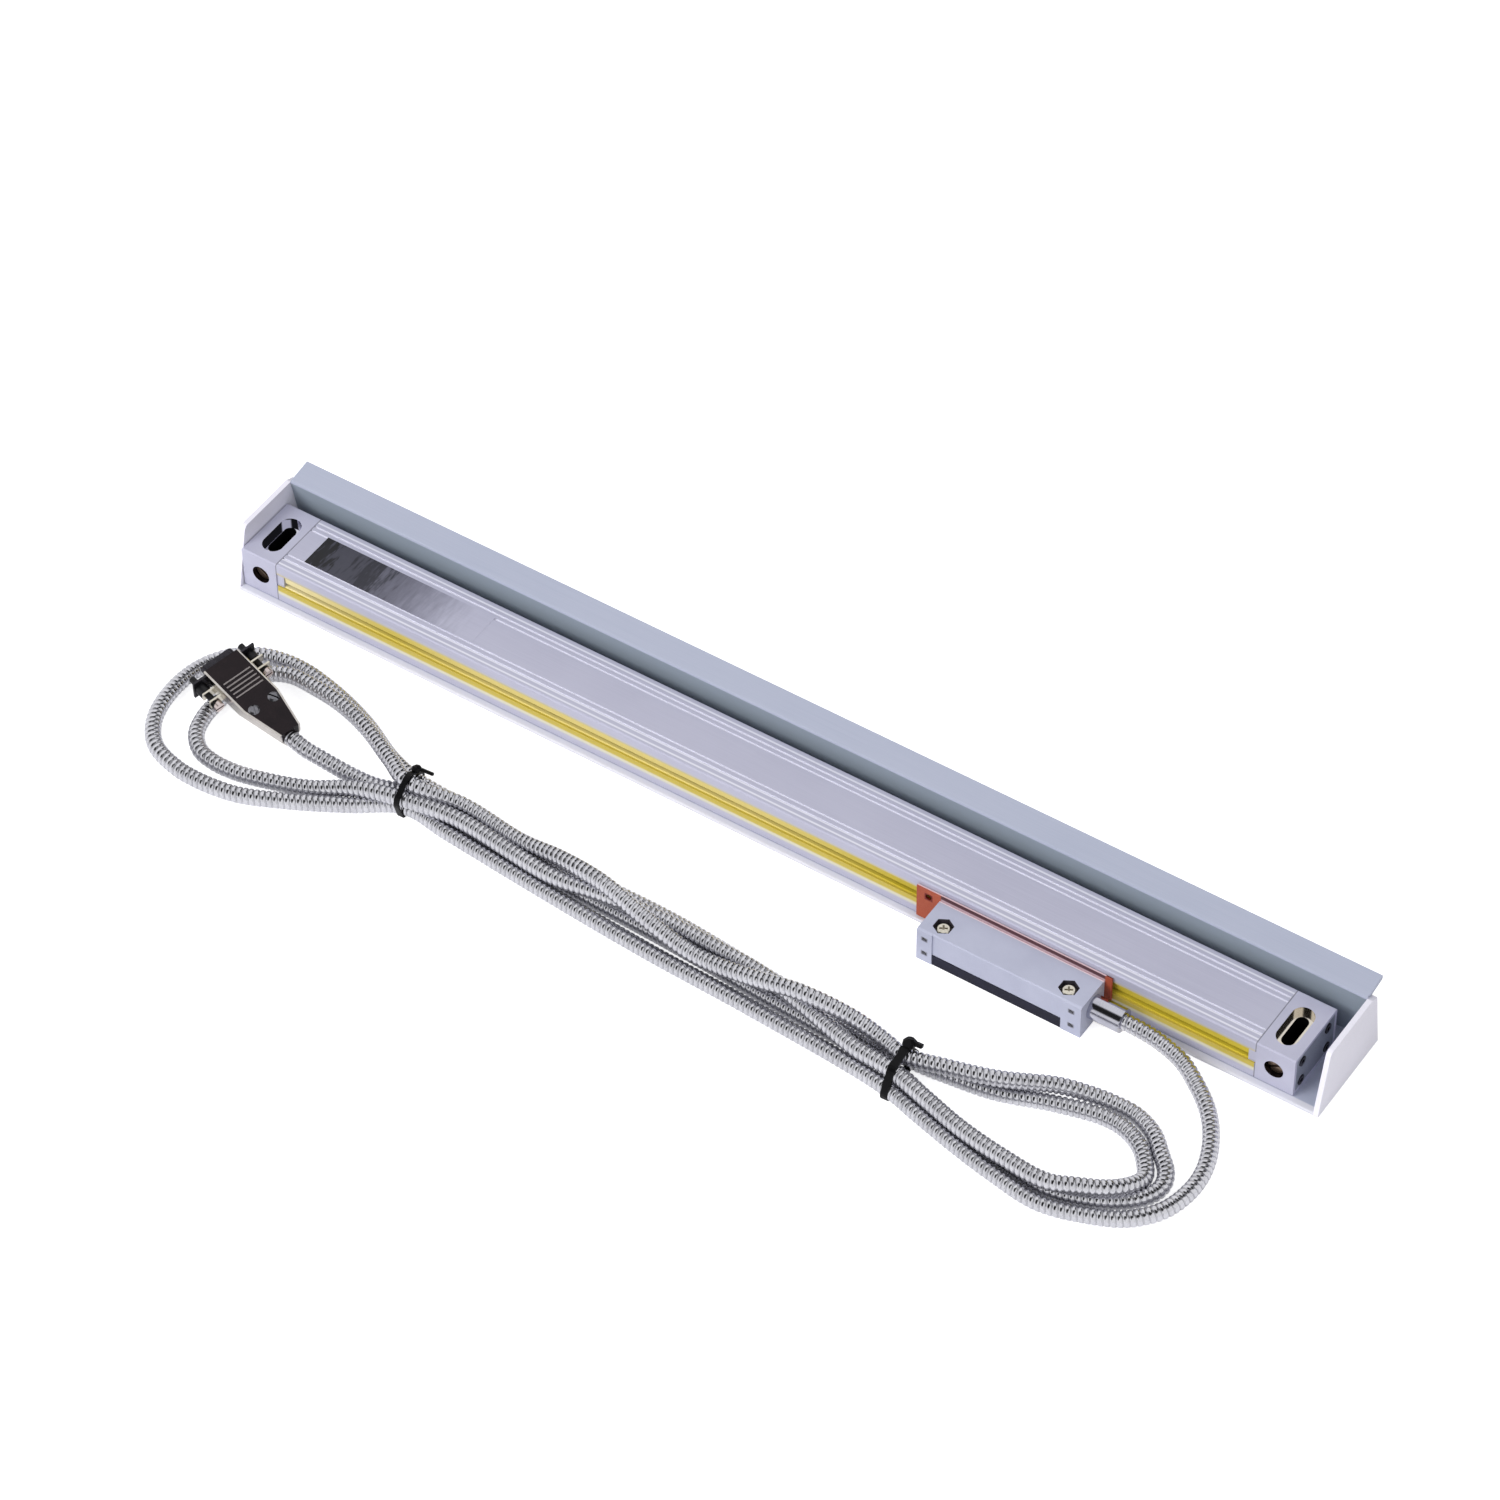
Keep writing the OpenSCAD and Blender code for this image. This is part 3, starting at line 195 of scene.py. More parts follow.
@dataclass(frozen=True)
class Finish:
    """A surface: its colour, the colour that it varies towards, and how it takes the light.

    Attributes:
        name: the real material and the process that gave it its surface.
        colour: main colour, sRGB hex.
        tint: colour that the grain and the broad cloud vary towards, sRGB hex.
        roughness: mean roughness.
        metallic: 1 for bare or plated metal.
        grain: size of the grain in millimetres.
        lay: direction of the grain.
        relief: height of the grain in millimetres.
        cloud: size of the broad variation in millimetres.
        coat: weight of a clear coat.
        specular: strength of the reflection of a bare surface.
    """

    name: str
    colour: str
    tint: str
    roughness: float
    metallic: float = 0.0
    grain: float = 0.5
    lay: Lay = Lay.EVEN
    relief: float = 0.004
    cloud: float = 30.0
    coat: float = 0.0
    specular: float = 0.5

    def build(self) -> bpy.types.Material:
        """Makes the material.

        Returns:
            The new material.
        """
        material = bpy.data.materials.new(self.name)
        material.use_nodes = True
        tree = material.node_tree
        tree.nodes.clear()
        where = add_node(tree, "ShaderNodeTexCoord").outputs["Object"]
        grain = self.noise(tree, where, self.grain, self.lay)
        cloud = self.noise(tree, where, self.cloud, Lay.EVEN)
        shader = self.surface(Ground(tree, where, grain, cloud))
        add_node(tree, "ShaderNodeOutputMaterial", {"Surface": shader})
        return material

    @staticmethod
    def noise(tree: Tree, where: Source, size: float, lay: Lay) -> Socket:
        """A noise of a real size.

        Args:
            tree: the node tree.
            where: the coordinate in the part's frame.
            size: size of a grain in millimetres.
            lay: direction of the grain.

        Returns:
            The noise, from 0 to 1.
        """
        moved = add_node(tree, "ShaderNodeMapping", {"Vector": where, "Scale": lay.value})
        return add_node(tree, "ShaderNodeTexNoise", {
            "Vector": moved, "Scale": 1 / (size * MM), "Detail": 3.0, "Roughness": 0.55}).outputs["Fac"]

    def tone(self, ground: Ground) -> Socket:
        """The colour, varied by the grain and the cloud.

        Args:
            ground: what the finish is laid on.

        Returns:
            The colour.
        """
        both = add_node(ground.tree, "ShaderNodeMath", {
            0: ground.grain, 1: ground.cloud}, operation="MULTIPLY")
        share = add_node(ground.tree, "ShaderNodeMapRange", {
            "Value": both, "From Min": TINT_SPAN[0], "From Max": TINT_SPAN[1], "To Min": 0.0, "To Max": 1.0})
        return add_node(ground.tree, "ShaderNodeMix", {
            "Factor": share, 6: linear(self.colour), 7: linear(self.tint)}, data_type="RGBA").outputs[2]

    def surface(self, ground: Ground) -> Node:
        """The whole surface.

        Args:
            ground: what the finish is laid on.

        Returns:
            The shader.
        """
        rough = add_node(ground.tree, "ShaderNodeMapRange", {
            "Value": ground.grain, "From Min": GRAIN_SPAN[0], "From Max": GRAIN_SPAN[1],
            "To Min": self.roughness * (1 - ROUGHNESS_SPREAD),
            "To Max": min(1.0, self.roughness * (1 + ROUGHNESS_SPREAD))})
        bump = add_node(ground.tree, "ShaderNodeBump", {
            "Height": ground.grain, "Distance": self.relief * MM, "Strength": 1.0})
        return add_node(ground.tree, "ShaderNodeBsdfPrincipled", {
            "Base Color": self.tone(ground),
            "Metallic": self.metallic,
            "Roughness": rough,
            "Normal": bump,
            "Specular IOR Level": self.specular,
            "Coat Weight": self.coat,
            "Coat Roughness": COAT_ROUGHNESS,
        })


@dataclass(frozen=True)
class Patch:
    """A region of a surface that looks different, as a box on the drawing.

    Attributes:
        low: lowest corner in millimetres.
        high: highest corner in millimetres.
        colour: its colour, sRGB hex.
        metallic: how metallic it is, or None to leave that as it is.
        blur: width of its soft edge in millimetres.
    """

    low: tuple
    high: tuple
    colour: str
    metallic: float = None
    blur: float = 0.02


@dataclass(frozen=True)
class PatchedFinish(Finish):
    """A finish with regions of their own.

    Attributes:
        patches: the regions, later ones over earlier ones.
        bright: roughness of a region that is given its own metal.
    """

    patches: tuple = ()
    bright: float = 0.12

    def surface(self, ground: Ground) -> Node:
        """The whole surface, with the regions' colours and sheen.

        Args:
            ground: what the finish is laid on.

        Returns:
            The shader.
        """
        tree = ground.tree
        shader = super().surface(ground)
        for patch in self.patches:
            mask = inside(tree, ground.where, patch.low, patch.high, patch.blur)
            colour = add_node(tree, "ShaderNodeMix", {
                "Factor": mask, 6: shader.inputs["Base Color"].links[0].from_socket,
                7: linear(patch.colour)}, data_type="RGBA").outputs[2]
            tree.links.new(colour, shader.inputs["Base Color"])
            if patch.metallic is not None:
                self.add_share(tree, mask, patch.metallic - self.metallic, shader.inputs["Metallic"])
                self.add_share(tree, mask, self.bright - self.roughness, shader.inputs["Roughness"])
        return shader

    @staticmethod
    def add_share(tree: Tree, mask: Source, more: float, socket: Socket) -> None:
        """Adds a number to what a shader's socket has, where the mask is 1.

        Args:
            tree: the node tree.
            mask: the region.
            more: the number.
            socket: the shader's socket.
        """
        before = socket.links[0].from_socket if socket.is_linked else socket.default_value
        share = add_node(tree, "ShaderNodeMath", {0: mask, 1: more}, operation="MULTIPLY")
        total = add_node(tree, "ShaderNodeMath", {0: share, 1: before}, operation="ADD")
        tree.links.new(total.outputs[0], socket)


@dataclass(frozen=True)
class GlassFinish(Finish):
    """Clear glass, with fine marks along the travel where it carries a graduation.

    Attributes:
        mark_pitch: spacing of the marks in millimetres, 0 for none.
        mark: colour of the marks, sRGB hex.
        clear: share of the light that goes through.
        ior: index of refraction.
    """

    mark_pitch: float = 0.0
    mark: str = "39453F"
    clear: float = 0.85
    ior: float = 1.5

    def tone(self, ground: Ground) -> Socket:
        """The glass, darker on its marks, which take half of the pitch.

        Args:
            ground: what the finish is laid on.

        Returns:
            The colour.
        """
        plain = super().tone(ground)
        if not self.mark_pitch:
            return plain
        tree = ground.tree
        along = add_node(tree, "ShaderNodeSeparateXYZ", {0: ground.where})
        turns = add_node(tree, "ShaderNodeMath", {
            0: along.outputs["X"], 1: self.mark_pitch * MM}, operation="DIVIDE")
        share = add_node(tree, "ShaderNodeMath", {0: turns}, operation="FRACT")
        dark = add_node(tree, "ShaderNodeMath", {0: share, 1: 0.5}, operation="LESS_THAN")
        return add_node(tree, "ShaderNodeMix", {
            "Factor": dark, 6: plain, 7: linear(self.mark)}, data_type="RGBA").outputs[2]

    def surface(self, ground: Ground) -> Node:
        """A thin clear solid.

        Args:
            ground: what the finish is laid on.

        Returns:
            The shader.
        """
        return add_node(ground.tree, "ShaderNodeBsdfPrincipled", {
            "Base Color": self.tone(ground),
            "Roughness": self.roughness,
            "Transmission Weight": self.clear,
            "IOR": self.ior,
        })


@dataclass(frozen=True)
class RidgedFinish(Finish):
    """A cover whose grip ridges are coloured lighter.

    Attributes:
        origin: middle of the cover's rear end, as a place on the drawing.
        along: direction across the ridges.
        across: direction of the ridges.
        first: place of the first ridge along the cover in millimetres.
        pitch: spacing of the ridges in millimetres.
        count: number of ridges.
        width: half the width of a rubbed line, as a share of the pitch.
        reach: half the length of a ridge in millimetres.
        ridge_tone: colour of the ridges, sRGB hex.
    """

    origin: tuple = (28.3, -52.2, 9.1)
    along: tuple = (0.9583, -0.2586, -0.1219)
    across: tuple = (0.2705, 0.9583, 0.0934)
    first: float = 10.5
    pitch: float = 2.1
    count: int = 5
    width: float = 0.17
    reach: float = 6.8
    ridge_tone: str = "857F7F"

    def tone(self, ground: Ground) -> Socket:
        """The cover, brighter on its ridges.

        Args:
            ground: what the finish is laid on.

        Returns:
            The colour.
        """
        tree = ground.tree
        plain = super().tone(ground)
        start = self.first - self.pitch / 2
        past = add_node(tree, "ShaderNodeMath", {
            0: self.reading(ground, self.along), 1: start}, operation="SUBTRACT")
        turns = add_node(tree, "ShaderNodeMath", {0: past, 1: self.pitch}, operation="DIVIDE")
        share = add_node(tree, "ShaderNodeMath", {0: turns}, operation="FRACT")
        ridge = self.within(tree, share, 0.5, self.width)
        on_grip = self.within(tree, turns, self.count / 2, self.count / 2)
        near = self.within(tree, self.reading(ground, self.across), 0.0, self.reach)
        both = add_node(tree, "ShaderNodeMath", {0: ridge, 1: on_grip}, operation="MULTIPLY")
        mask = add_node(tree, "ShaderNodeMath", {0: both, 1: near}, operation="MULTIPLY")
        return add_node(tree, "ShaderNodeMix", {
            "Factor": mask, 6: plain, 7: linear(self.ridge_tone)}, data_type="RGBA").outputs[2]

    def reading(self, ground: Ground, axis: tuple) -> Node:
        """Distance from the origin along an axis.

        Args:
            ground: what the finish is laid on.
            axis: the axis as a unit vector.

        Returns:
            A node that gives the distance in millimetres.
        """
        local = add_node(ground.tree, "ShaderNodeVectorMath", {
            0: ground.where, 1: place(*self.origin)}, operation="SUBTRACT")
        dot = add_node(ground.tree, "ShaderNodeVectorMath", {0: local, 1: axis}, operation="DOT_PRODUCT")
        return add_node(ground.tree, "ShaderNodeMath", {0: dot.outputs["Value"], 1: MM}, operation="DIVIDE")

    @staticmethod
    def within(tree: Tree, value: Source, middle: float, reach: float) -> Node:
        """Tells where a value lies near another.

        Args:
            tree: the node tree.
            value: the value.
            middle: the other value.
            reach: how far from it counts as near.

        Returns:
            A node that gives 1 where it is near, and otherwise 0.
        """
        off = add_node(tree, "ShaderNodeMath", {0: value, 1: middle}, operation="SUBTRACT")
        far = add_node(tree, "ShaderNodeMath", {0: off}, operation="ABSOLUTE")
        return add_node(tree, "ShaderNodeMath", {0: far, 1: reach}, operation="LESS_THAN")


# how the label's print fades: share of the way from black to foil -> colour
LABEL_TONES = {
    0.06: "101018", 0.1: "3E3E4A", 0.24: "42424E", 0.3: "24242E", 0.38: "2A2A34",
    0.44: "5A5A68", 0.62: "6E6E7E", 0.8: "8E8EA0",
}


@dataclass(frozen=True)
class LabelFinish(Finish):
    """A printed foil: black at its left end, fading into bare silver foil to the right.

    Attributes:
        start: left end in millimetres along the housing.
        fade: where the black has gone, in millimetres along the housing.
        black: colour of the full print, sRGB hex.
        block: size of the faint blocks in the print in millimetres.
        block_lay: scale of the blocks along each axis.
        ragged: how far the blocks shift the fading, as a share of its length.
        lateness: power by which the bare foil comes late.
    """

    start: float = 26.0
    fade: float = 100.0
    black: str = "0C0C12"
    block: float = 3.0
    block_lay: tuple = (2.0, 0.35, 1.0)
    ragged: float = 0.4
    lateness: float = 4.0

    def tone(self, ground: Ground) -> Socket:
        """Black print that gives way to foil, with faint blocks in it.

        Args:
            ground: what the finish is laid on.

        Returns:
            The colour.
        """
        tree = ground.tree
        foil = super().tone(ground)
        axes = add_node(tree, "ShaderNodeSeparateXYZ", {0: ground.where})
        along = add_node(tree, "ShaderNodeMapRange", {
            "Value": axes.outputs["X"],
            "From Min": (self.start + HOUSING_CORNER.x) * MM,
            "From Max": (self.fade + HOUSING_CORNER.x) * MM})
        moved = add_node(tree, "ShaderNodeMapping", {"Vector": ground.where, "Scale": self.block_lay})
        blocks = add_node(tree, "ShaderNodeTexNoise", {
            "Vector": moved, "Scale": 1 / (self.block * MM), "Detail": 2.5})
        shift = add_node(tree, "ShaderNodeMath", {
            0: blocks.outputs["Fac"], 1: self.ragged, 2: -self.ragged / 2}, operation="MULTIPLY_ADD")
        shifted = add_node(tree, "ShaderNodeMath", {0: along, 1: shift}, operation="ADD")
        ramp = add_node(tree, "ShaderNodeValToRGB", {"Fac": shifted})
        stops = ramp.color_ramp.elements
        stops[0].position, stops[0].color = 0.0, linear(self.black)
        stops[1].position, stops[1].color = 1.0, linear(self.colour)
        for spot, colour in LABEL_TONES.items():
            stop = stops.new(spot)
            stop.color = linear(colour)
        late = add_node(tree, "ShaderNodeMath", {0: along, 1: self.lateness}, operation="POWER")
        mix = add_node(tree, "ShaderNodeMix", {"Factor": late, 6: ramp, 7: foil}, data_type="RGBA")
        return mix.outputs[2]


def both_ends(low: tuple, high: tuple, colour: str, metallic: float = None) -> list:
    """A patch at the left end and its mirror image at the right end.

    Args:
        low: lowest corner of the left patch in millimetres.
        high: highest corner of the left patch in millimetres.
        colour: their colour, sRGB hex.
        metallic: how metallic they are, or None to leave that as it is.

    Returns:
        The two patches.
    """
    other = [(HOUSING_LEN - high[0], low[1], low[2]), (HOUSING_LEN - low[0], high[1], high[2])]
    return [Patch(low, high, colour, metallic), Patch(*other, colour, metallic)]


def painted_top_lines(places: tuple, width: float, rise: float, colour: str, blur: float) -> list:
    """Painted lines of light along the housing's top, which stand for highlights and take out shade.

    Args:
        places: their middles in millimetres from the front.
        width: width of a line in millimetres.
        rise: how far above the top face they still colour the surface, in millimetres.
        colour: their colour, sRGB hex.
        blur: width of their soft edge in millimetres.

    Returns:
        A patch for each line.
    """
    ends = (BLOCK_LEN, HOUSING_LEN - BLOCK_LEN)
    return [Patch((ends[0], y - width / 2, HOUSING_TOP - 0.7), (ends[1], y + width / 2, HOUSING_TOP + rise),
                  colour, blur=blur) for y in places]


# painted light along the housing's top: the grooves' own walls are painted as pale as the top, taking out
# their shade, and painted highlights stand for the bright edges that the eye sees outside them
GROOVES_AT = (5.05, 7.65, HOUSING_W - 7.65, HOUSING_W - 5.05)
EDGES_AT = (2.0, 4.5, HOUSING_W - 5.1, HOUSING_W - 2.6)
PAINTED_TOP_LINES = painted_top_lines(GROOVES_AT, 1.0, -0.02, "E6E6F2", 0.02) + painted_top_lines(EDGES_AT, 1.25, 1.0, "E4E4F0", 0.4)
# painted reflection: the lips' yellow is painted on the rebate round the slot, with a pale yellow band
# painted under it
LIP_PAINTED_REFLECTION = [
    Patch((14, -5, 12.0), (HOUSING_LEN - 14, 5, 18.6), "CDBC58", blur=2.0),
    Patch((14, -5, 5.6), (HOUSING_LEN - 14, 5, 12.0), "D9D5BE", blur=1.2),
    Patch((14, -5, 7.3), (HOUSING_LEN - 14, 5, 12.0), "C6B24A", blur=0.9),
]
# the lips are paler near their left end, and a little along the first half
LIP_PATCHES = (
    Patch((-200, -90, -90), (75, 90, 120), "E8DCAA", blur=50),
    Patch((50, -90, -90), (320, 90, 120), "DCCB7C", blur=70),
)
# painted shade: the wall behind the housing is painted a duller grey than its flange; painted light: the
# guard's front edge and its floor in front of the housing are painted pale
WALL_PAINTED_SHADE = Patch((-20, 29, 2.2), (520, 44, 31.3), "9AA5B0", blur=0.3)
GUARD_FRONT_PAINTED_LIGHT = Patch((-20, -9, -5), (530, 0.4, 7), "DFDFE8", blur=0.5)
# painted shade: the through slots are painted near black and the air ports' holes a dark metal; the
# counterbores are bright metal from the cutter, grey at the left and warm at the right as a painted
# reflection
SLOT_SHADE = both_ends((6.2, 7.3, -0.5), (11.8, 23.7, 19.45), "070708")
COUNTERBORE = ((4.2, 4.9, 19.4), (13.8, 26.1, 22.42))
BLOCK_PATCHES = tuple(
    both_ends(*COUNTERBORE, "D9D2C6", 1.0)
    + [Patch(*COUNTERBORE, "C9C9D6", 1.0)]
    + SLOT_SHADE
    + both_ends((4.7, 0.06, 7.9), (13.3, 4.2, 16.6), "2A2426", 0.8)
)
# the hexagonal pockets for the head's mounting screws, in shade below the rim
POCKETS_AT = (349.2, 406.4)
POCKET_SHADE = [Patch((x - 4.5, -16.4, 12.2), (x + 4.5, -7.4, 17.45), "3C383E") for x in POCKETS_AT]
# the head's top edge by the bracket catches the light
HEAD_EDGE = Patch((340, -2.3, 16.6), (418, -0.6, 18.6), "EEDDE4", blur=0.3)
# a soft shade round each of the screws in the lugs
LUG_SHADE = [Patch((x - 1.7, -21, z - 1.4), (x + 1.7, -17.4, z + 1.4), "74747F", blur=0.6)
             for x in (344.6, 411.6) for z in (5.1, 13.1)]
# the bracket's edge by the housing in painted shade, its strip above the head in three tones (painted shade,
# with painted light along its lower edge and on its top face), and a dark red surround of its hole
BRACKET_PAINTED_SHADE_AND_LIGHT = (
    Patch((300, -0.8, 19.7), (450, 0.5, 25), "6A2A22", blur=0.1),
    Patch((341, -5, 16), (416.4, 5, 25), "52343A", blur=0.4),
    Patch((341, -5, 16), (416.4, 5, 18.6), "BCA2AA", blur=0.5),
    Patch((330, -0.95, 19.9), (416.4, 5, 25), "DCBFC4", blur=0.1),
    Patch((333.4, -3, 13.7), (337.6, 2, 17.9), "6A1A14", blur=0.5),
)
# the slotted tips of the connector's screws are plated
JACK_TIPS = (
    Patch((38, -90, -5), (60, -62, 25), "CFC2C0", 1.0),
    Patch((45, -52, -5), (66, -30, 25), "CFC2C0", 1.0),
)

# Slot name -> finish. The grain of a blasted, ground or moulded surface is finer than the eye can see
# from here, so it is drawn 0.2 to 0.5 mm wide, and the marks on the glass keep their real spacing.
FINISHES = {
    # extruded 6063 aluminium, etched and clear anodised: satin grey with die lines along the profile,
    # painted highlight lines on top and a painted reflection of the lips round the slot
    "anodised_extrusion": PatchedFinish(
        "aluminium_extruded_anodised", "BDBDD0", "B5B5C9", roughness=0.46, metallic=0.2, grain=0.35,
        lay=Lay.ALONG_X, relief=0.003, cloud=60, patches=tuple(LIP_PAINTED_REFLECTION + PAINTED_TOP_LINES)),
    # milled aluminium, bead blasted and anodised: the same satin grey, without a direction
    "machined_block": PatchedFinish(
        "aluminium_milled_blasted", "C0C0D4", "B6B6CA", roughness=0.46, metallic=0.2, grain=0.25,
        relief=0.003, cloud=12, patches=BLOCK_PATCHES),
    # nitrile rubber, die cut from sheet: matt grey
    "gasket_rubber": Finish(
        "nitrile_gasket_cut", "8E8E9C", "7C7C8A", roughness=0.8, grain=0.4, relief=0.01, cloud=6),
    # steel plate, painted: an even dark grey with a slight sheen
    "end_plate_grey": Finish(
        "steel_plate_painted", "858B99", "787E8C", roughness=0.4, metallic=0.1, grain=0.6, cloud=10),
    # alloy steel screw, black oxide: nearly black, with soft highlights
    "black_screw": PatchedFinish(
        "steel_screw_black_oxide", "0B0B0E", "141418", roughness=0.35, grain=0.3, cloud=3, specular=0.3,
        patches=JACK_TIPS),
    # brass plug, turned, in a dark tone: dull brown metal
    "plug_brass": Finish(
        "brass_plug_turned", "6A5A52", "8E7A66", roughness=0.3, metallic=0.9, grain=0.3, cloud=3),
    # soda lime glass, ground, with a chrome graduation: pale green, grey where the marks are
    "scale_glass": GlassFinish(
        "glass_strip_ground_graduated", "D8E8E0", "C8DCD2", roughness=0.05, mark_pitch=0.04),
    # silicone bead, cast in place: matt off-white
    "bedding_elastomer": Finish(
        "silicone_bedding_cast", "C6C6BE", "B2B2AA", roughness=0.6, grain=0.6, relief=0.01, cloud=10),
    # polyurethane, extruded: dull yellow with faint lines along it
    "lip_yellow": PatchedFinish(
        "polyurethane_lip_extruded", "CEBA38", "C0AC32", roughness=0.45, lay=Lay.ALONG_X, relief=0.006,
        cloud=45, specular=0.3, patches=LIP_PATCHES),
    # aluminium sheet, folded and clear anodised: a bluer satin grey than the housing
    "guard_aluminium": PatchedFinish(
        "aluminium_guard_anodised", "B4B9CC", "AEB4C8", roughness=0.5, metallic=0.15, grain=0.4,
        lay=Lay.ALONG_X, relief=0.003, cloud=70, patches=tuple([WALL_PAINTED_SHADE, GUARD_FRONT_PAINTED_LIGHT] + SLOT_SHADE)),
    # polycarbonate, injection moulded: cool white with an even sheen
    "cap_white": Finish("polycarbonate_cap_moulded", "F0EEFA", "E8E6F2", roughness=0.35, cloud=18),
    # die-cast aluminium, blasted and lacquered: pale matt grey with a fine grain
    "head_aluminium": PatchedFinish(
        "aluminium_head_cast_blasted", "BEC1D5", "B2B5CA", roughness=0.55, metallic=0.1, grain=0.22,
        relief=0.005, cloud=14, specular=0.3, patches=tuple(POCKET_SHADE + [HEAD_EDGE] + LUG_SHADE)),
    # glass-filled nylon, moulded: blue black and nearly matt
    "lid_black": Finish(
        "nylon_lid_moulded", "101020", "1A1A30", roughness=0.5, grain=0.3, relief=0.006, cloud=8,
        specular=0.2),
    # steel screw, zinc plated: mid grey metal
    "steel_screw": Finish(
        "steel_screw_zinc_plated", "8A8A90", "6A6A70", roughness=0.3, metallic=1.0, grain=0.25, cloud=3),
    # steel screw, nickel plated: bright, slightly warm metal
    "plated_screw": Finish(
        "steel_screw_nickel_plated", "E2DDD0", "BEB8AC", roughness=0.18, metallic=1.0, grain=0.3,
        relief=0.003, cloud=3),
    # glass-epoxy board under solder mask: glossy dark green
    "board_green": Finish(
        "epoxy_board_masked", "1D5A34", "174A2A", roughness=0.35, cloud=6, coat=0.4),
    # orange nylon, moulded: matt, with a slight mottle
    "bracket_orange": PatchedFinish(
        "nylon_bracket_moulded", "AC543A", "9A4832", roughness=0.55, grain=0.4, relief=0.006, cloud=12,
        specular=0.3, patches=BRACKET_PAINTED_SHADE_AND_LIGHT),
    # hardened spring steel, ground: bright metal with lines along it
    "blade_steel": Finish(
        "spring_steel_ground", "B8B8BE", "A0A0A6", roughness=0.25, metallic=1.0, grain=0.3,
        lay=Lay.ALONG_X, relief=0.002, cloud=10),
    # aluminium carriage, milled: grey metal with cutter lines
    "carriage_aluminium": Finish(
        "aluminium_carriage_milled", "B4B4BC", "A2A2AA", roughness=0.35, metallic=0.9, grain=0.3,
        lay=Lay.ALONG_X, relief=0.003, cloud=12),
    # tinted epoxy, cast: glossy red
    "led_resin": Finish(
        "epoxy_emitter_cast", "C85046", "B04038", roughness=0.15, relief=0.002, cloud=3, coat=0.5),
    # optical glass, polished: clear, with sharp highlights
    "optic_glass": GlassFinish("optical_glass_polished", "E4F0F2", "DCEAEC", roughness=0.02),
    # bearing steel, ground: bright metal with lines round it
    "roller_steel": Finish(
        "bearing_steel_ground", "C4C4CA", "ACACB2", roughness=0.15, metallic=1.0, grain=0.2,
        lay=Lay.ALONG_Y, relief=0.002, cloud=3),
    # brass ferrule, turned and chrome plated: mirror bright
    "ferrule_chrome": Finish(
        "brass_ferrule_chrome_plated", "C8C8D2", "B2B2BE", roughness=0.12, metallic=1.0, grain=0.3,
        lay=Lay.ALONG_Y, relief=0.002, cloud=6),
    # stainless steel strip, wound into hose: mirror bright on the raised bands
    "armour_steel": Finish(
        "stainless_hose_strip_wound", "DADAE0", "C2C2C8", roughness=0.12, metallic=1.0, relief=0.002,
        cloud=9),
    # nylon tie, moulded: plain black with little sheen
    "tie_nylon": Finish(
        "nylon_tie_moulded", "040405", "0A0A0C", roughness=0.45, grain=0.3, relief=0.006, cloud=4,
        specular=0.15),
    # zinc, die cast and nickel plated: bright, slightly warm metal
    "hood_metal": Finish(
        "zinc_hood_nickel_plated", "D6D2CE", "BAB4B0", roughness=0.2, metallic=1.0, grain=0.4, cloud=6),
    # zinc, die cast under black nickel: glossy black, lighter on the ridges
    "hood_lid_gloss": RidgedFinish(
        "zinc_cover_black_nickel", "151014", "221A1D", roughness=0.2, grain=0.4, relief=0.003, cloud=8,
        specular=0.15),
    # steel shell, dark nickel plated: dark metal with soft highlights
    "shell_plated": Finish(
        "steel_shell_dark_nickel", "232127", "38363E", roughness=0.28, metallic=0.6, grain=0.3, cloud=4),
    # polyester contact carrier, moulded: matt black
    "insulator_black": Finish(
        "polyester_carrier_moulded", "141418", "202026", roughness=0.55, grain=0.3, relief=0.006, cloud=4),
    # brass contacts, gold flashed: bright yellow metal
    "pin_gold": Finish(
        "brass_contact_gold_plated", "E0B860", "C8A04C", roughness=0.18, metallic=1.0, grain=0.3,
        relief=0.002, cloud=2),
}
# the hose's steel between the turns: rougher, where no polish reaches, and painted a little darker as shade
# in the grooves
GROOVE_STEEL = Finish(
    "stainless_hose_groove", "C4C4CA", "AEAEB4", roughness=0.3, metallic=0.95, cloud=9)


@dataclass(frozen=True)
class PackedPart:
    """The part's own solids, which keep their shapes and take their finishes.

    Attributes:
        frame: what load() returned.
    """

    frame: dict

    def dress(self) -> dict:
        """Gives every node the finish of its slot.

        Returns:
            Slot name -> material.
        """
        materials = {slot: finish.build() for slot, finish in FINISHES.items()}
        node_slots = {entry["node"]: entry["material_slot"] for entry in self.frame["record"]["subparts"]}
        for name, node in self.frame["nodes"].items():
            node.data.materials.clear()
            node.data.materials.append(materials[node_slots[name]])
        LOG.info("dressed %d nodes with %d finishes", len(node_slots), len(materials))
        return materials


@dataclass(frozen=True)
class Piece:
    """Makes a mesh object and attaches it to a body of the part.

    Attributes:
        name: name of the piece.
        body: the body that it rides on.
        slot: the material slot for its finish; not used.
    """

    name: str
    body: str
    slot: str

    def mesh(self, points: list, faces: list, material: bpy.types.Material,
             smooth: bool = True) -> bpy.types.Object:
        """Makes the object from points in metres.

        Args:
            points: the corners.
            faces: index lists.
            material: its material.
            smooth: whether its faces are shaded smoothly.

        Returns:
            The new object.
        """
        data = bpy.data.meshes.new(self.name)
        data.from_pydata(points, [], faces)
        data.validate()
        data.polygons.foreach_set("use_smooth", [smooth] * len(data.polygons))
        data.materials.append(material)
        made = bpy.data.objects.new(self.name, data)
        bpy.context.scene.collection.objects.link(made)
        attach(made, self.body)
        LOG.info("made %s with %d faces", self.name, len(data.polygons))
        return made
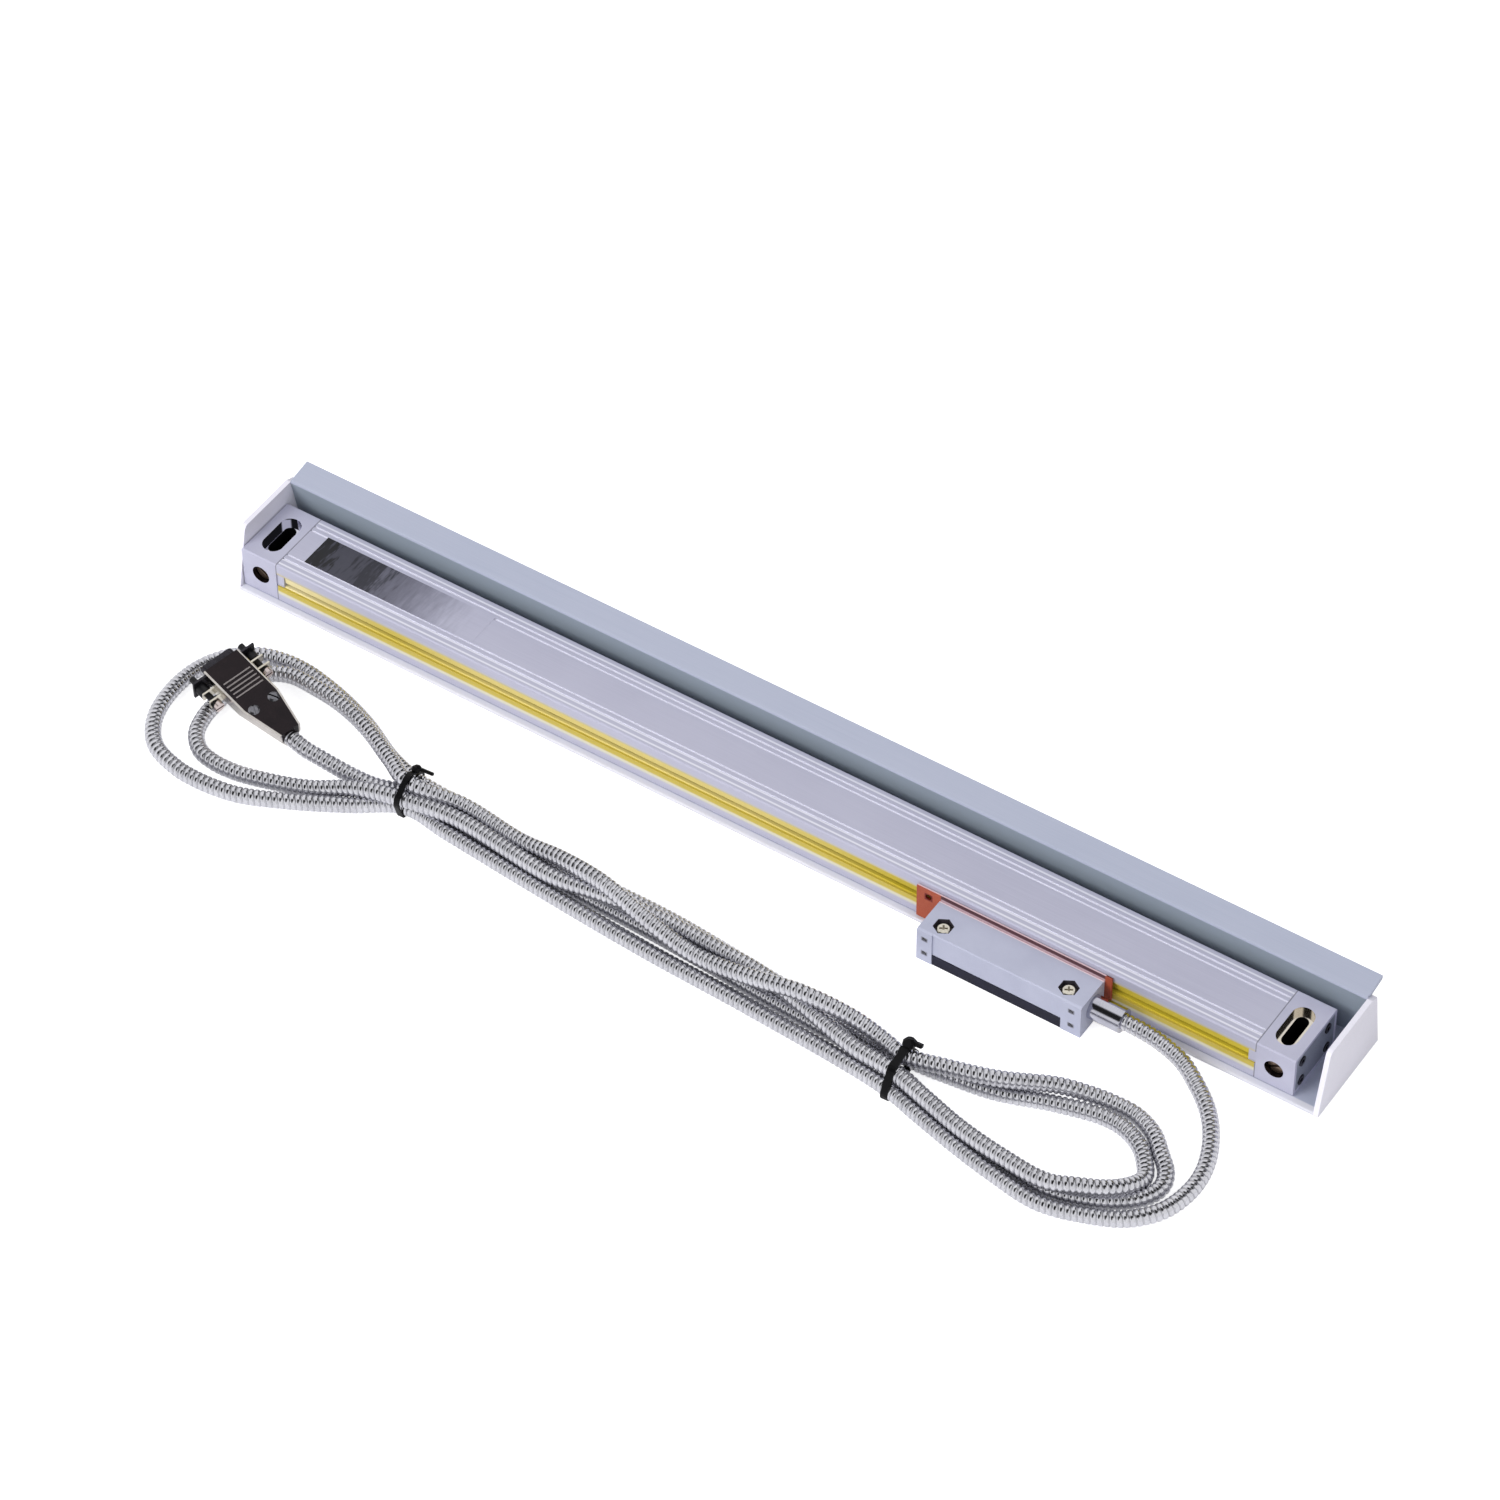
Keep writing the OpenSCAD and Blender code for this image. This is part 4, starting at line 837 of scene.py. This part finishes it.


# the lead's route, in millimetres: each place is on the hose's centre line
GLAND_RUN = [
    (430, -9.3, 10.3), (437, -9.3, 10), (444, -9.5, 9.3), (451, -10.3, 8.2), (458, -12, 6.8), (467, -17, 5),
    (477, -25, 3.8), (485, -36, 3.6), (490.5, -49.5, 3.6), (491.5, -62, 3.6), (488, -75.5, 3.6),
    (479, -86.5, 3.6), (464, -94, 3.6), (446, -98.5, 3.6), (425, -96, 3.6), (405, -92, 3.6), (385, -87, 3.6),
]
STRAND_A = [
    (367, -82.5, 3.6), (304, -77.9, 3.6), (253, -75.9, 3.6), (202, -72.3, 3.6), (152, -67.9, 3.6),
    (129, -66, 3.6),
]
LEFT_OUTER = [
    (110, -77.5, 3.6), (91, -88, 3.6), (71, -97, 3.6), (60.5, -99.3, 3.6), (50.5, -100, 3.6),
    (40.5, -99.3, 3.6), (25.5, -94, 3.6), (16.5, -83, 3.6), (12.6, -67, 3.6), (14, -51, 3.6), (20, -39, 3.6),
    (30, -31, 3.6), (40, -28, 3.6), (50.5, -27.5, 3.6), (61, -29, 3.6), (75, -32.5, 3.6), (91, -38.5, 3.8),
    (111, -49.5, 6.2),
]
STRAND_B = [
    (129, -56.6, 10.1), (152, -53.9, 3.8), (202, -57.5, 3.6), (253, -57.6, 3.6), (304, -61.7, 3.6),
    (367, -66, 3.6),
]
RIGHT_INNER = [
    (385, -64.6, 3.6), (405, -61.5, 3.6), (425, -54.5, 3.6), (445.5, -49.5, 3.6), (455, -50, 3.6),
    (464, -54, 3.6), (470.5, -60.5, 3.6), (474, -67, 4.4), (472.5, -75.5, 7.6), (467, -82.5, 9.6),
    (457, -88.5, 10.6), (446, -92.8, 10.4), (425, -91.5, 10), (405, -88.3, 9.8), (385, -83, 9.8),
]
STRAND_C = [
    (367, -78.4, 9.8), (352, -77.2, 9.8), (344, -75.6, 9.8), (322, -70.4, 10.5), (300, -65.6, 9.9),
    (279, -64.2, 9.8), (247, -63.8, 9.8), (225, -66, 10.4), (203, -68.5, 9.8), (152, -64.4, 9.9),
    (129, -68, 10.2),
]
LEFT_INNER = [
    (110, -72, 8.2), (91, -79.5, 4.2), (71, -86, 3.6), (60.5, -88.3, 3.6), (50.5, -88.5, 3.6),
    (42.5, -86.5, 3.6), (35.5, -80, 3.6), (32.5, -71, 3.6), (32, -62, 3.6), (33, -50, 3.6), (36, -42.5, 4),
    (42, -37.5, 5.2), (50.5, -35.2, 6.8), (62.9, -36.2, 8.2), (77.8, -38.8, 9.5), (94, -44, 10.2),
    (114, -54.4, 12),
]
# this strand climbs over the third one twice
STRAND_D = [
    (129, -62.3, 14.3), (152, -57.3, 10.2), (182, -60.2, 9.9), (203, -62, 14), (225, -65.7, 17.2),
    (247, -69.4, 14), (268, -71.4, 9.9), (279, -71.8, 9.9), (300, -71.9, 13.8), (322, -70.2, 17.3),
    (344, -67.8, 14), (360, -68.6, 10.4), (367, -70.1, 9.8),
]
RIGHT_OUTER = [
    (385, -66.5, 10.6), (405, -60.3, 10.6), (425, -49, 8.4), (435.5, -44.5, 6), (445.5, -41.8, 4.1),
    (455.5, -41.8, 3.6), (465.5, -46, 3.6), (473, -53, 3.6), (479.5, -60, 3.6), (481.5, -67, 3.6),
    (478.5, -75, 3.6), (471, -82, 3.6), (460, -87.6, 3.6), (446, -91.3, 3.6), (425, -89, 3.6),
    (405, -84.9, 3.6), (385, -79.6, 3.6),
]
STRAND_E = [
    (367, -74.2, 3.6), (304, -69.8, 3.6), (253, -66.8, 3.6), (202, -64.9, 3.6), (152, -60.8, 3.6),
    (129, -58.8, 3.6),
]
PIGTAIL = [
    (112, -63.6, 3.8), (103, -64.6, 4.4), (95, -65.2, 5.6), (87, -65.5, 6.8), (80, -65.8, 8), (74, -65, 8.9),
    (69, -63.7, 9.4),
]
ROUTE = (GLAND_RUN + STRAND_A + LEFT_OUTER + STRAND_B + RIGHT_INNER + STRAND_C + LEFT_INNER + STRAND_D
         + RIGHT_OUTER + STRAND_E + PIGTAIL)


@dataclass(frozen=True)
class SmoothLine:
    """A smooth line through places, divided evenly.

    Attributes:
        points: places that the line passes through, in metres.
        step: spacing of the result in metres.
        fine: spacing at which the line is first drawn, in metres.
        fewest: the least number of parts that a span is first drawn in.
    """

    points: list
    step: float
    fine: float = 0.5 * MM
    fewest: int = 8

    def drawn(self) -> list:
        """Draws a centripetal Catmull-Rom line through the places.

        Returns:
            Closely spaced places on the line.
        """
        points = self.points
        ends = [points[0] * 2 - points[1]] + points + [points[-1] * 2 - points[-2]]
        dense = []
        for a, b, c, d in zip(ends, ends[1:], ends[2:], ends[3:]):
            t1 = math.sqrt((b - a).length)
            t2 = t1 + math.sqrt((c - b).length)
            t3 = t2 + math.sqrt((d - c).length)
            count = max(self.fewest, round((c - b).length / self.fine))
            for i in range(count):
                t = t1 + (t2 - t1) * i / count
                ab = a * ((t1 - t) / t1) + b * (t / t1)
                bc = b * ((t2 - t) / (t2 - t1)) + c * ((t - t1) / (t2 - t1))
                cd = c * ((t3 - t) / (t3 - t2)) + d * ((t - t2) / (t3 - t2))
                abc = ab * ((t2 - t) / t2) + bc * (t / t2)
                bcd = bc * ((t3 - t) / (t3 - t1)) + cd * ((t - t1) / (t3 - t1))
                dense.append(abc * ((t2 - t) / (t2 - t1)) + bcd * ((t - t1) / (t2 - t1)))
        dense.append(points[-1].copy())
        return dense

    def divided(self) -> list:
        """Divides the drawn line evenly.

        Returns:
            Evenly spaced places, with the line's two ends.
        """
        dense = self.drawn()
        total = sum((b - a).length for a, b in zip(dense, dense[1:]))
        count = round(total / self.step)
        spacing = total / count
        result, walked, index = [dense[0]], 0.0, 0
        for i in range(1, count):
            target = i * spacing
            while walked + (dense[index + 1] - dense[index]).length < target:
                walked += (dense[index + 1] - dense[index]).length
                index += 1
            leg = (dense[index + 1] - dense[index]).length
            result.append(dense[index].lerp(dense[index + 1], (target - walked) / leg))
        result.append(dense[-1])
        return result


@dataclass
class ArmouredLead:
    """The strip-wound hose from the head's ferrule, through the hank, to the connector.

    Attributes:
        diameter: outside diameter in millimetres.
        pitch: spacing of the turns in millimetres.
        groove: depth of the groove between turns in millimetres.
        crown: how much the raised band falls off towards its edges, in millimetres.
        land: share of the pitch that the raised band takes.
        sides: corners round the hose.
        rings: rings per turn.
        length: the real hose's length in metres; not used.
    """

    diameter: float = HOSE_D
    pitch: float = 2.4
    groove: float = 0.5
    crown: float = 0.14
    land: float = 0.68
    sides: int = 16
    rings: int = 8
    length: float = 2.5

    def radius(self, turn: float) -> float:
        """Radius of the hose at a place on its spiral.

        Args:
            turn: the place in turns.

        Returns:
            The radius in millimetres.
        """
        share = turn % 1.0
        top = self.diameter / 2
        if share < self.land:
            off = abs(share / self.land - 0.5) * 2
            return top - self.crown * off ** 2
        return top - self.groove

    def tube(self, line: list) -> tuple:
        """Makes the hose's skin along a line.

        Args:
            line: evenly spaced places in metres.

        Returns:
            The corners, and the faces as index lists, ring by ring and then the two ends.
        """
        points, faces = [], []
        side = (line[1] - line[0]).cross(Vector((0, 0, 1))).normalized()
        last = len(line) - 1
        for i, centre in enumerate(line):
            ahead = (line[min(i + 1, last)] - line[max(i - 1, 0)]).normalized()
            side = (side - ahead * side.dot(ahead)).normalized()
            up = ahead.cross(side)
            for k in range(self.sides):
                angle = 2 * math.pi * k / self.sides
                reach = self.radius(i / self.rings - k / self.sides) * MM
                points.append(centre + (side * math.cos(angle) + up * math.sin(angle)) * reach)
        for i in range(last):
            for k in range(self.sides):
                a, b = i * self.sides + k, i * self.sides + (k + 1) % self.sides
                faces.append((a, b, b + self.sides, a + self.sides))
        faces.append(tuple(reversed(range(self.sides))))
        faces.append(tuple(last * self.sides + k for k in range(self.sides)))
        return points, faces

    def build(self, material: bpy.types.Material, groove_material: bpy.types.Material) -> bpy.types.Object:
        """Args:
            material: material of the raised bands.
            groove_material: material of the grooves between them.

        Returns:
            The hose.
        """
        line = SmoothLine([place(*p) for p in ROUTE], self.pitch * MM / self.rings).divided()
        hose = Piece("armoured_hose", "reading_head", "armour_steel").mesh(*self.tube(line), material)
        hose.data.materials.append(groove_material)
        for face in hose.data.polygons[:(len(line) - 1) * self.sides]:
            i, k = divmod(face.index, self.sides)
            if ((i + 0.5) / self.rings - (k + 0.5) / self.sides) % 1.0 > self.land:
                face.material_index = 1
        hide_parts("lead_tube", "cable_hank", "pigtail_tube")
        walked = sum((b - a).length for a, b in zip(line, line[1:]))
        LOG.info("the hose is %.3f m long and has %d rings", walked, len(line))
        return hose


def half_hull(points: list) -> list:
    """One side of the convex outline of flat points.

    Args:
        points: the points as (y, z), sorted one way or the other.

    Returns:
        The side's corners, without the last one.
    """
    chain = []
    for p in points:
        while len(chain) > 1 and ((chain[-1][0] - chain[-2][0]) * (p[1] - chain[-2][1])
                                  - (chain[-1][1] - chain[-2][1]) * (p[0] - chain[-2][0])) <= 0:
            chain.pop()
        chain.append(p)
    return chain[:-1]


@dataclass
class CableTie:
    """A nylon tie drawn tight round the strands, with its head on top and its tail cut short.

    Attributes:
        name: name of the piece.
        replaced: the node that it stands for.
        x: place along the bundle in millimetres.
        strands: centres of the strands there, as (y, z) in millimetres.
        width: width of the strap in millimetres.
        thickness: thickness of the strap in millimetres.
        head: length, width and height of the head in millimetres.
        head_at: place of the head as (y, z) in millimetres.
        head_tilt: degrees by which the head leans with the strap.
        tail: length of the cut tail in millimetres.
        turn: degrees by which the tie stands across the bundle.
        corners: corners of the strap round each strand.
        clearance: height of the strap over the ground in millimetres.
        tail_width: width of the tail as a share of the strap's.
        tail_thickness: thickness of the tail as a multiple of the strap's.
        tail_off: place of the tail from the head's middle as (y, z) in millimetres.
        head_cut: size of the head's cut edges in millimetres.
        tail_cut: size of the tail's cut edges in millimetres.
    """

    name: str
    replaced: str
    x: float
    strands: list
    width: float
    thickness: float
    head: tuple
    head_at: tuple
    head_tilt: float
    tail: float
    turn: float = 4.0
    corners: int = 24
    clearance: float = 0.05
    tail_width: float = 0.7
    tail_thickness: float = 1.5
    tail_off: tuple = (0.3, 0.6)
    head_cut: float = 1.0
    tail_cut: float = 0.2

    def outline(self, gap: float) -> list:
        """Outline round the strands at a distance from them.

        Args:
            gap: the distance in millimetres.

        Returns:
            Corners as (y, z) in millimetres, anticlockwise.
        """
        steps = [2 * math.pi * k / self.corners for k in range(self.corners)]
        reach = HOSE_D / 2 + gap
        ring = [(round(y + reach * math.cos(a), 4), round(max(z + reach * math.sin(a), self.clearance), 4))
                for y, z in self.strands for a in steps]
        ordered = sorted(set(ring))
        return half_hull(ordered) + half_hull(ordered[::-1])

    def middle(self) -> tuple:
        """Middle of the bundle as (y, z) in millimetres."""
        return tuple(sum(values) / len(self.strands) for values in zip(*self.strands))

    def nearest_inside(self, point: tuple) -> tuple:
        """The point of the strap's inner face behind an outer point.

        Args:
            point: the outer point as (y, z) in millimetres.

        Returns:
            The inner point as (y, z) in millimetres.
        """
        middle = self.middle()
        dy, dz = middle[0] - point[0], middle[1] - point[1]
        far = math.hypot(dy, dz)
        return (point[0] + dy / far * self.thickness, point[1] + dz / far * self.thickness)

    def build(self, material: bpy.types.Material) -> bpy.types.Object:
        """Makes the tie.

        Args:
            material: its material.

        Returns:
            The tie.
        """
        outer = self.outline(self.thickness)
        inner = [self.nearest_inside(p) for p in outer]
        points, faces = [], []
        for loop, offset in ((outer, -0.5), (outer, 0.5), (inner, 0.5), (inner, -0.5)):
            points += [(offset * self.width, y, z) for y, z in loop]
        count = len(outer)
        for band in range(4):
            for k in range(count):
                a, b = band * count + k, band * count + (k + 1) % count
                c, d = (band + 1) % 4 * count + (k + 1) % count, (band + 1) % 4 * count + k
                faces.append((a, b, c, d))
        tail = (self.tail, self.width * self.tail_width, self.thickness * self.tail_thickness)
        tail_at = (self.tail / 2, self.head_at[0] + self.tail_off[0], self.head_at[1] + self.tail_off[1])
        self.add_box(points, faces, self.head, (0.0, *self.head_at), self.head_cut)
        self.add_box(points, faces, tail, tail_at, self.tail_cut)
        middle = self.middle()[0]
        spin = Matrix.Rotation(math.radians(self.turn), 3, "Z")
        moved = []
        for x, y, z in points:
            flat = spin @ Vector((x, y - middle, z))
            moved.append(place(self.x + flat.x, middle + flat.y, flat.z))
        tie = Piece(self.name, "reading_head", "tie_nylon").mesh(moved, faces, material, smooth=False)
        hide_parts(self.replaced)
        return tie

    def add_box(self, points: list, faces: list, size: tuple, at: tuple, cut: float) -> None:
        """Adds a box to a mesh, leaning as the head does, with its edges cut off.

        Args:
            points: the mesh's corners, which the box's are added to.
            faces: the mesh's faces, which the box's are added to.
            size: length, width and height in millimetres.
            at: its middle in millimetres.
            cut: size of the cut edges in millimetres.
        """
        first = len(points)
        half_x, half_y, half_z = (s / 2 for s in size)
        rings = ((-half_z, cut), (-half_z + cut, 0.0), (half_z - cut, 0.0), (half_z, cut))
        c, s = math.cos(math.radians(self.head_tilt)), math.sin(math.radians(self.head_tilt))
        for z, inset in rings:
            a, b = half_x - inset, half_y - inset
            for x, y in ((-a, -b + cut), (-a + cut, -b), (a - cut, -b), (a, -b + cut),
                         (a, b - cut), (a - cut, b), (-a + cut, b), (-a, b - cut)):
                points.append((at[0] + x, at[1] + y * c - z * s, at[2] + y * s + z * c))
        for ring in range(3):
            for k in range(8):
                a, b = first + ring * 8 + k, first + ring * 8 + (k + 1) % 8
                faces.append((a, b, b + 8, a + 8))
        faces.append(tuple(first + k for k in reversed(range(8))))
        faces.append(tuple(first + 24 + k for k in range(8)))


TIES = (
    CableTie(
        "left_tie_strap", "left_cable_tie", x=129.0,
        strands=[(-66, 3.6), (-58.8, 3.6), (-68, 10.2), (-56.6, 10.1), (-62.3, 14.3)],
        width=2.3, thickness=0.9, head=(3.8, 4.4, 3.6), head_at=(-55.8, 16.0), head_tilt=-40.0, tail=7.5),
    CableTie(
        "right_tie_strap", "right_cable_tie", x=369.0,
        strands=[(-82.6, 3.6), (-74.3, 3.6), (-66, 3.6), (-78.5, 9.8), (-70, 9.8)],
        width=3.2, thickness=1.1, head=(4.8, 5.2, 4.2), head_at=(-66.4, 14.0), head_tilt=-30.0, tail=5.5),
)


@dataclass
class Label:
    """The foil label on top of the housing.

    Attributes:
        start: left end along the housing in millimetres.
        end: right end along the housing in millimetres.
        front: front edge in millimetres.
        back: back edge in millimetres.
        thickness: thickness of the foil in millimetres.
        bare: length of bare foil at its right end in millimetres.
    """

    start: float = 26.0
    end: float = 110.0
    front: float = 8.0
    back: float = 24.8
    thickness: float = 0.06
    bare: float = 4.0

    def build(self) -> bpy.types.Object:
        """Makes the label, with its own printed finish.

        Returns:
            The label.
        """
        low = [place(x, y, HOUSING_TOP) for x, y in self.corners()]
        high = [place(x, y, HOUSING_TOP + self.thickness) for x, y in self.corners()]
        count = len(low)
        faces = [tuple(reversed(range(count))), tuple(range(count, 2 * count))]
        faces += [(k, (k + 1) % count, (k + 1) % count + count, k + count) for k in range(count)]
        # polyester foil, printed black over silver: satin, with the housing's tone where it is bare
        finish = LabelFinish(
            "polyester_foil_printed", "BDBDD0", "B5B5C9", roughness=0.46, metallic=0.2, grain=0.35,
            lay=Lay.ALONG_X, relief=0.003, cloud=60, start=self.start, fade=self.end - self.bare)
        piece = Piece("housing_label", "root", "anodised_extrusion")
        return piece.mesh(low + high, faces, finish.build(), smooth=False)

    def corners(self) -> list:
        """Corners of the label as (x, y) in millimetres, anticlockwise."""
        front, back = self.front, self.back
        return [(self.start, front), (self.end, front), (self.end, back), (self.start, back)]


@dataclass
class CameraRig:
    """A long lens that looks down on the part from the right front.

    Attributes:
        azimuth: degrees round from the front towards the right.
        elevation: degrees above the horizon.
        roll: degrees of roll.
        distance: distance from the point looked at, in metres.
        target: the point looked at.
        lens: focal length in millimetres.
        sensor: width of the sensor in millimetres.
        shift: sensor shift, as shares of its width.
        clip: nearest and farthest distance that it sees, in metres.
    """

    azimuth: float = 33.49
    elevation: float = 47.13
    roll: float = -0.15
    distance: float = 2.4406
    target: Vector = field(default_factory=lambda: Vector((-0.0226, 0.03635, 0.0)))
    lens: float = 144.86
    sensor: float = 36.0
    shift: tuple = (-0.0209, -0.0081)
    clip: tuple = (0.1, 20.0)

    def back(self) -> Vector:
        """Direction from the target to the camera."""
        a, e = math.radians(self.azimuth), math.radians(self.elevation)
        return Vector((math.sin(a) * math.cos(e), -math.cos(a) * math.cos(e), math.sin(e)))

    def build(self) -> bpy.types.Object:
        """Makes the camera and takes it into use.

        Returns:
            The camera.
        """
        data = bpy.data.cameras.new("camera")
        data.lens = self.lens
        data.sensor_width = self.sensor
        data.shift_x, data.shift_y = self.shift
        data.clip_start, data.clip_end = self.clip
        camera = bpy.data.objects.new("camera", data)
        bpy.context.scene.collection.objects.link(camera)
        turn = (-self.back()).to_track_quat("-Z", "Y").to_matrix().to_4x4()
        tilt = Matrix.Rotation(math.radians(self.roll), 4, "Z")
        camera.matrix_world = Matrix.Translation(self.target + self.back() * self.distance) @ turn @ tilt
        bpy.context.scene.camera = camera
        LOG.info("placed the camera %.2f m from the part", self.distance)
        return camera


@dataclass(frozen=True)
class DimSide:
    """A part of the surround that reflects dark.

    Attributes:
        towards: its direction.
        edge: cosine of the angle from it at which the dark begins.
        core: cosine of the angle at which it is full.
    """

    towards: tuple
    edge: float
    core: float


@dataclass(frozen=True)
class SoftLight:
    """A square soft light that faces the part.

    Attributes:
        name: its name.
        at: its place in metres.
        size: length of its sides in metres.
        watts: its strength.
    """

    name: str
    at: tuple
    size: float
    watts: float

    def build(self) -> None:
        """Makes the light. It shows in no reflection, because the surround shapes those alone."""
        data = bpy.data.lights.new(self.name, "AREA")
        data.shape = "SQUARE"
        data.size = self.size
        data.energy = self.watts
        light = bpy.data.objects.new(self.name, data)
        where = Vector(self.at)
        turn = (-where).to_track_quat("-Z", "Y").to_matrix().to_4x4()
        light.matrix_world = Matrix.Translation(where) @ turn
        light.visible_glossy = False
        bpy.context.scene.collection.objects.link(light)
        LOG.info("placed %s", self.name)


@dataclass
class Studio:
    """A pale floor, soft light from above and a white surround with dim sides.

    Attributes:
        surround: brightness of the surround on matt surfaces.
        mirrored: brightness of the surround in reflections.
        dark: brightness of the dim sides in reflections.
        dim_sides: where reflections of the surround are dark.
        lights: the key light at the left front and the fill light at the right.
        floor_half: half the length of the floor's sides in metres.
        floor_drop: how far the floor lies under the part, in metres.
        card: linear colour of the floor.
        lift: brightness that the floor has of itself to the camera, which keeps a faint shadow.
        mirrored_lift: share of it that reflections see.
    """

    surround: float = 0.46
    mirrored: float = 0.99
    dark: float = 0.02
    dim_sides: tuple = (
        DimSide((-0.12, -0.6, 0.79), 0.84, 0.94),
        DimSide((0.30, -0.11, 0.95), 0.93, 0.98),
        DimSide((0.25, 0.57, 0.78), 0.91, 0.97),
        DimSide((0.03, 0.97, 0.26), 0.90, 0.97),
    )
    lights: tuple = (
        SoftLight("key_light", (-1.0, -1.95, 1.6), 1.5, 57.0),
        SoftLight("fill_light", (1.75, -0.55, 1.75), 1.2, 11.0),
    )
    floor_half: float = 4.0
    floor_drop: float = 0.0003
    card: tuple = (0.82, 0.82, 0.84, 1.0)
    lift: float = 0.72
    mirrored_lift: float = 0.35

    def build(self) -> None:
        """Makes floor, lights and surround."""
        self.floor()
        for light in self.lights:
            light.build()
        self.world()
        bpy.context.scene.view_settings.view_transform = "Standard"
        bpy.context.scene.view_settings.look = "None"

    def floor(self) -> None:
        """Makes the floor: pale card that the camera sees as plain white."""
        a, z = self.floor_half, -self.floor_drop
        data = bpy.data.meshes.new("floor")
        data.from_pydata([(-a, -a, z), (a, -a, z), (a, a, z), (-a, a, z)], [], [(0, 1, 2, 3)])
        floor = bpy.data.objects.new("floor", data)
        bpy.context.scene.collection.objects.link(floor)
        material = bpy.data.materials.new("card_white_matt")
        material.use_nodes = True
        tree = material.node_tree
        tree.nodes.clear()
        rays = add_node(tree, "ShaderNodeLightPath").outputs
        glossy = add_node(tree, "ShaderNodeMath", {
            0: rays["Is Glossy Ray"], 1: self.mirrored_lift}, operation="MULTIPLY")
        seen = add_node(tree, "ShaderNodeMath", {0: rays["Is Camera Ray"], 1: glossy}, operation="MAXIMUM")
        strength = add_node(tree, "ShaderNodeMath", {0: seen, 1: self.lift}, operation="MULTIPLY")
        card = add_node(tree, "ShaderNodeBsdfDiffuse", {"Color": self.card})
        lift = add_node(tree, "ShaderNodeEmission", {"Color": WHITE, "Strength": strength})
        both = add_node(tree, "ShaderNodeAddShader", {0: card, 1: lift})
        add_node(tree, "ShaderNodeOutputMaterial", {"Surface": both})
        data.materials.append(material)
        LOG.info("laid the floor")

    def world(self) -> None:
        """Makes the surround: white to the camera, and otherwise bright with dim sides."""
        world = bpy.data.worlds.new("surround")
        bpy.context.scene.world = world
        world.use_nodes = True
        tree = world.node_tree
        tree.nodes.clear()
        rays = add_node(tree, "ShaderNodeLightPath").outputs
        ray = add_node(tree, "ShaderNodeTexCoord").outputs["Generated"]
        bright = self.mirrored
        for side in self.dim_sides:
            cosine = add_node(tree, "ShaderNodeVectorMath", {
                0: ray, 1: Vector(side.towards).normalized()}, operation="DOT_PRODUCT")
            shade = add_node(tree, "ShaderNodeMapRange", {
                "Value": cosine.outputs["Value"], "From Min": side.edge, "From Max": side.core,
                "To Min": self.mirrored, "To Max": self.dark}, interpolation_type="SMOOTHSTEP")
            bright = add_node(tree, "ShaderNodeMath", {0: bright, 1: shade}, operation="MINIMUM")
        mirror = add_node(tree, "ShaderNodeMath", {
            0: rays["Is Glossy Ray"], 1: rays["Is Transmission Ray"]}, operation="MAXIMUM")
        strength = add_node(tree, "ShaderNodeMix", {"Factor": mirror, 2: self.surround, 3: bright})
        room = add_node(tree, "ShaderNodeBackground", {"Color": WHITE, "Strength": strength})
        plain = add_node(tree, "ShaderNodeBackground", {"Color": WHITE, "Strength": 1.0})
        both = add_node(tree, "ShaderNodeMixShader", {0: rays["Is Camera Ray"], 1: room, 2: plain})
        add_node(tree, "ShaderNodeOutputWorld", {"Surface": both})
        LOG.info("made the surround with %d dim sides", len(self.dim_sides))


def main() -> None:
    """Builds the scene."""
    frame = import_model()
    CameraRig().build()
    materials = PackedPart(frame).dress()
    for tie in TIES:
        tie.build(materials["tie_nylon"])
    ArmouredLead().build(materials["armour_steel"], GROOVE_STEEL.build())
    Label().build()
    Studio().build()


if __name__ == "__main__":
    logging.basicConfig(level=logging.INFO, format="%(message)s")
    main()
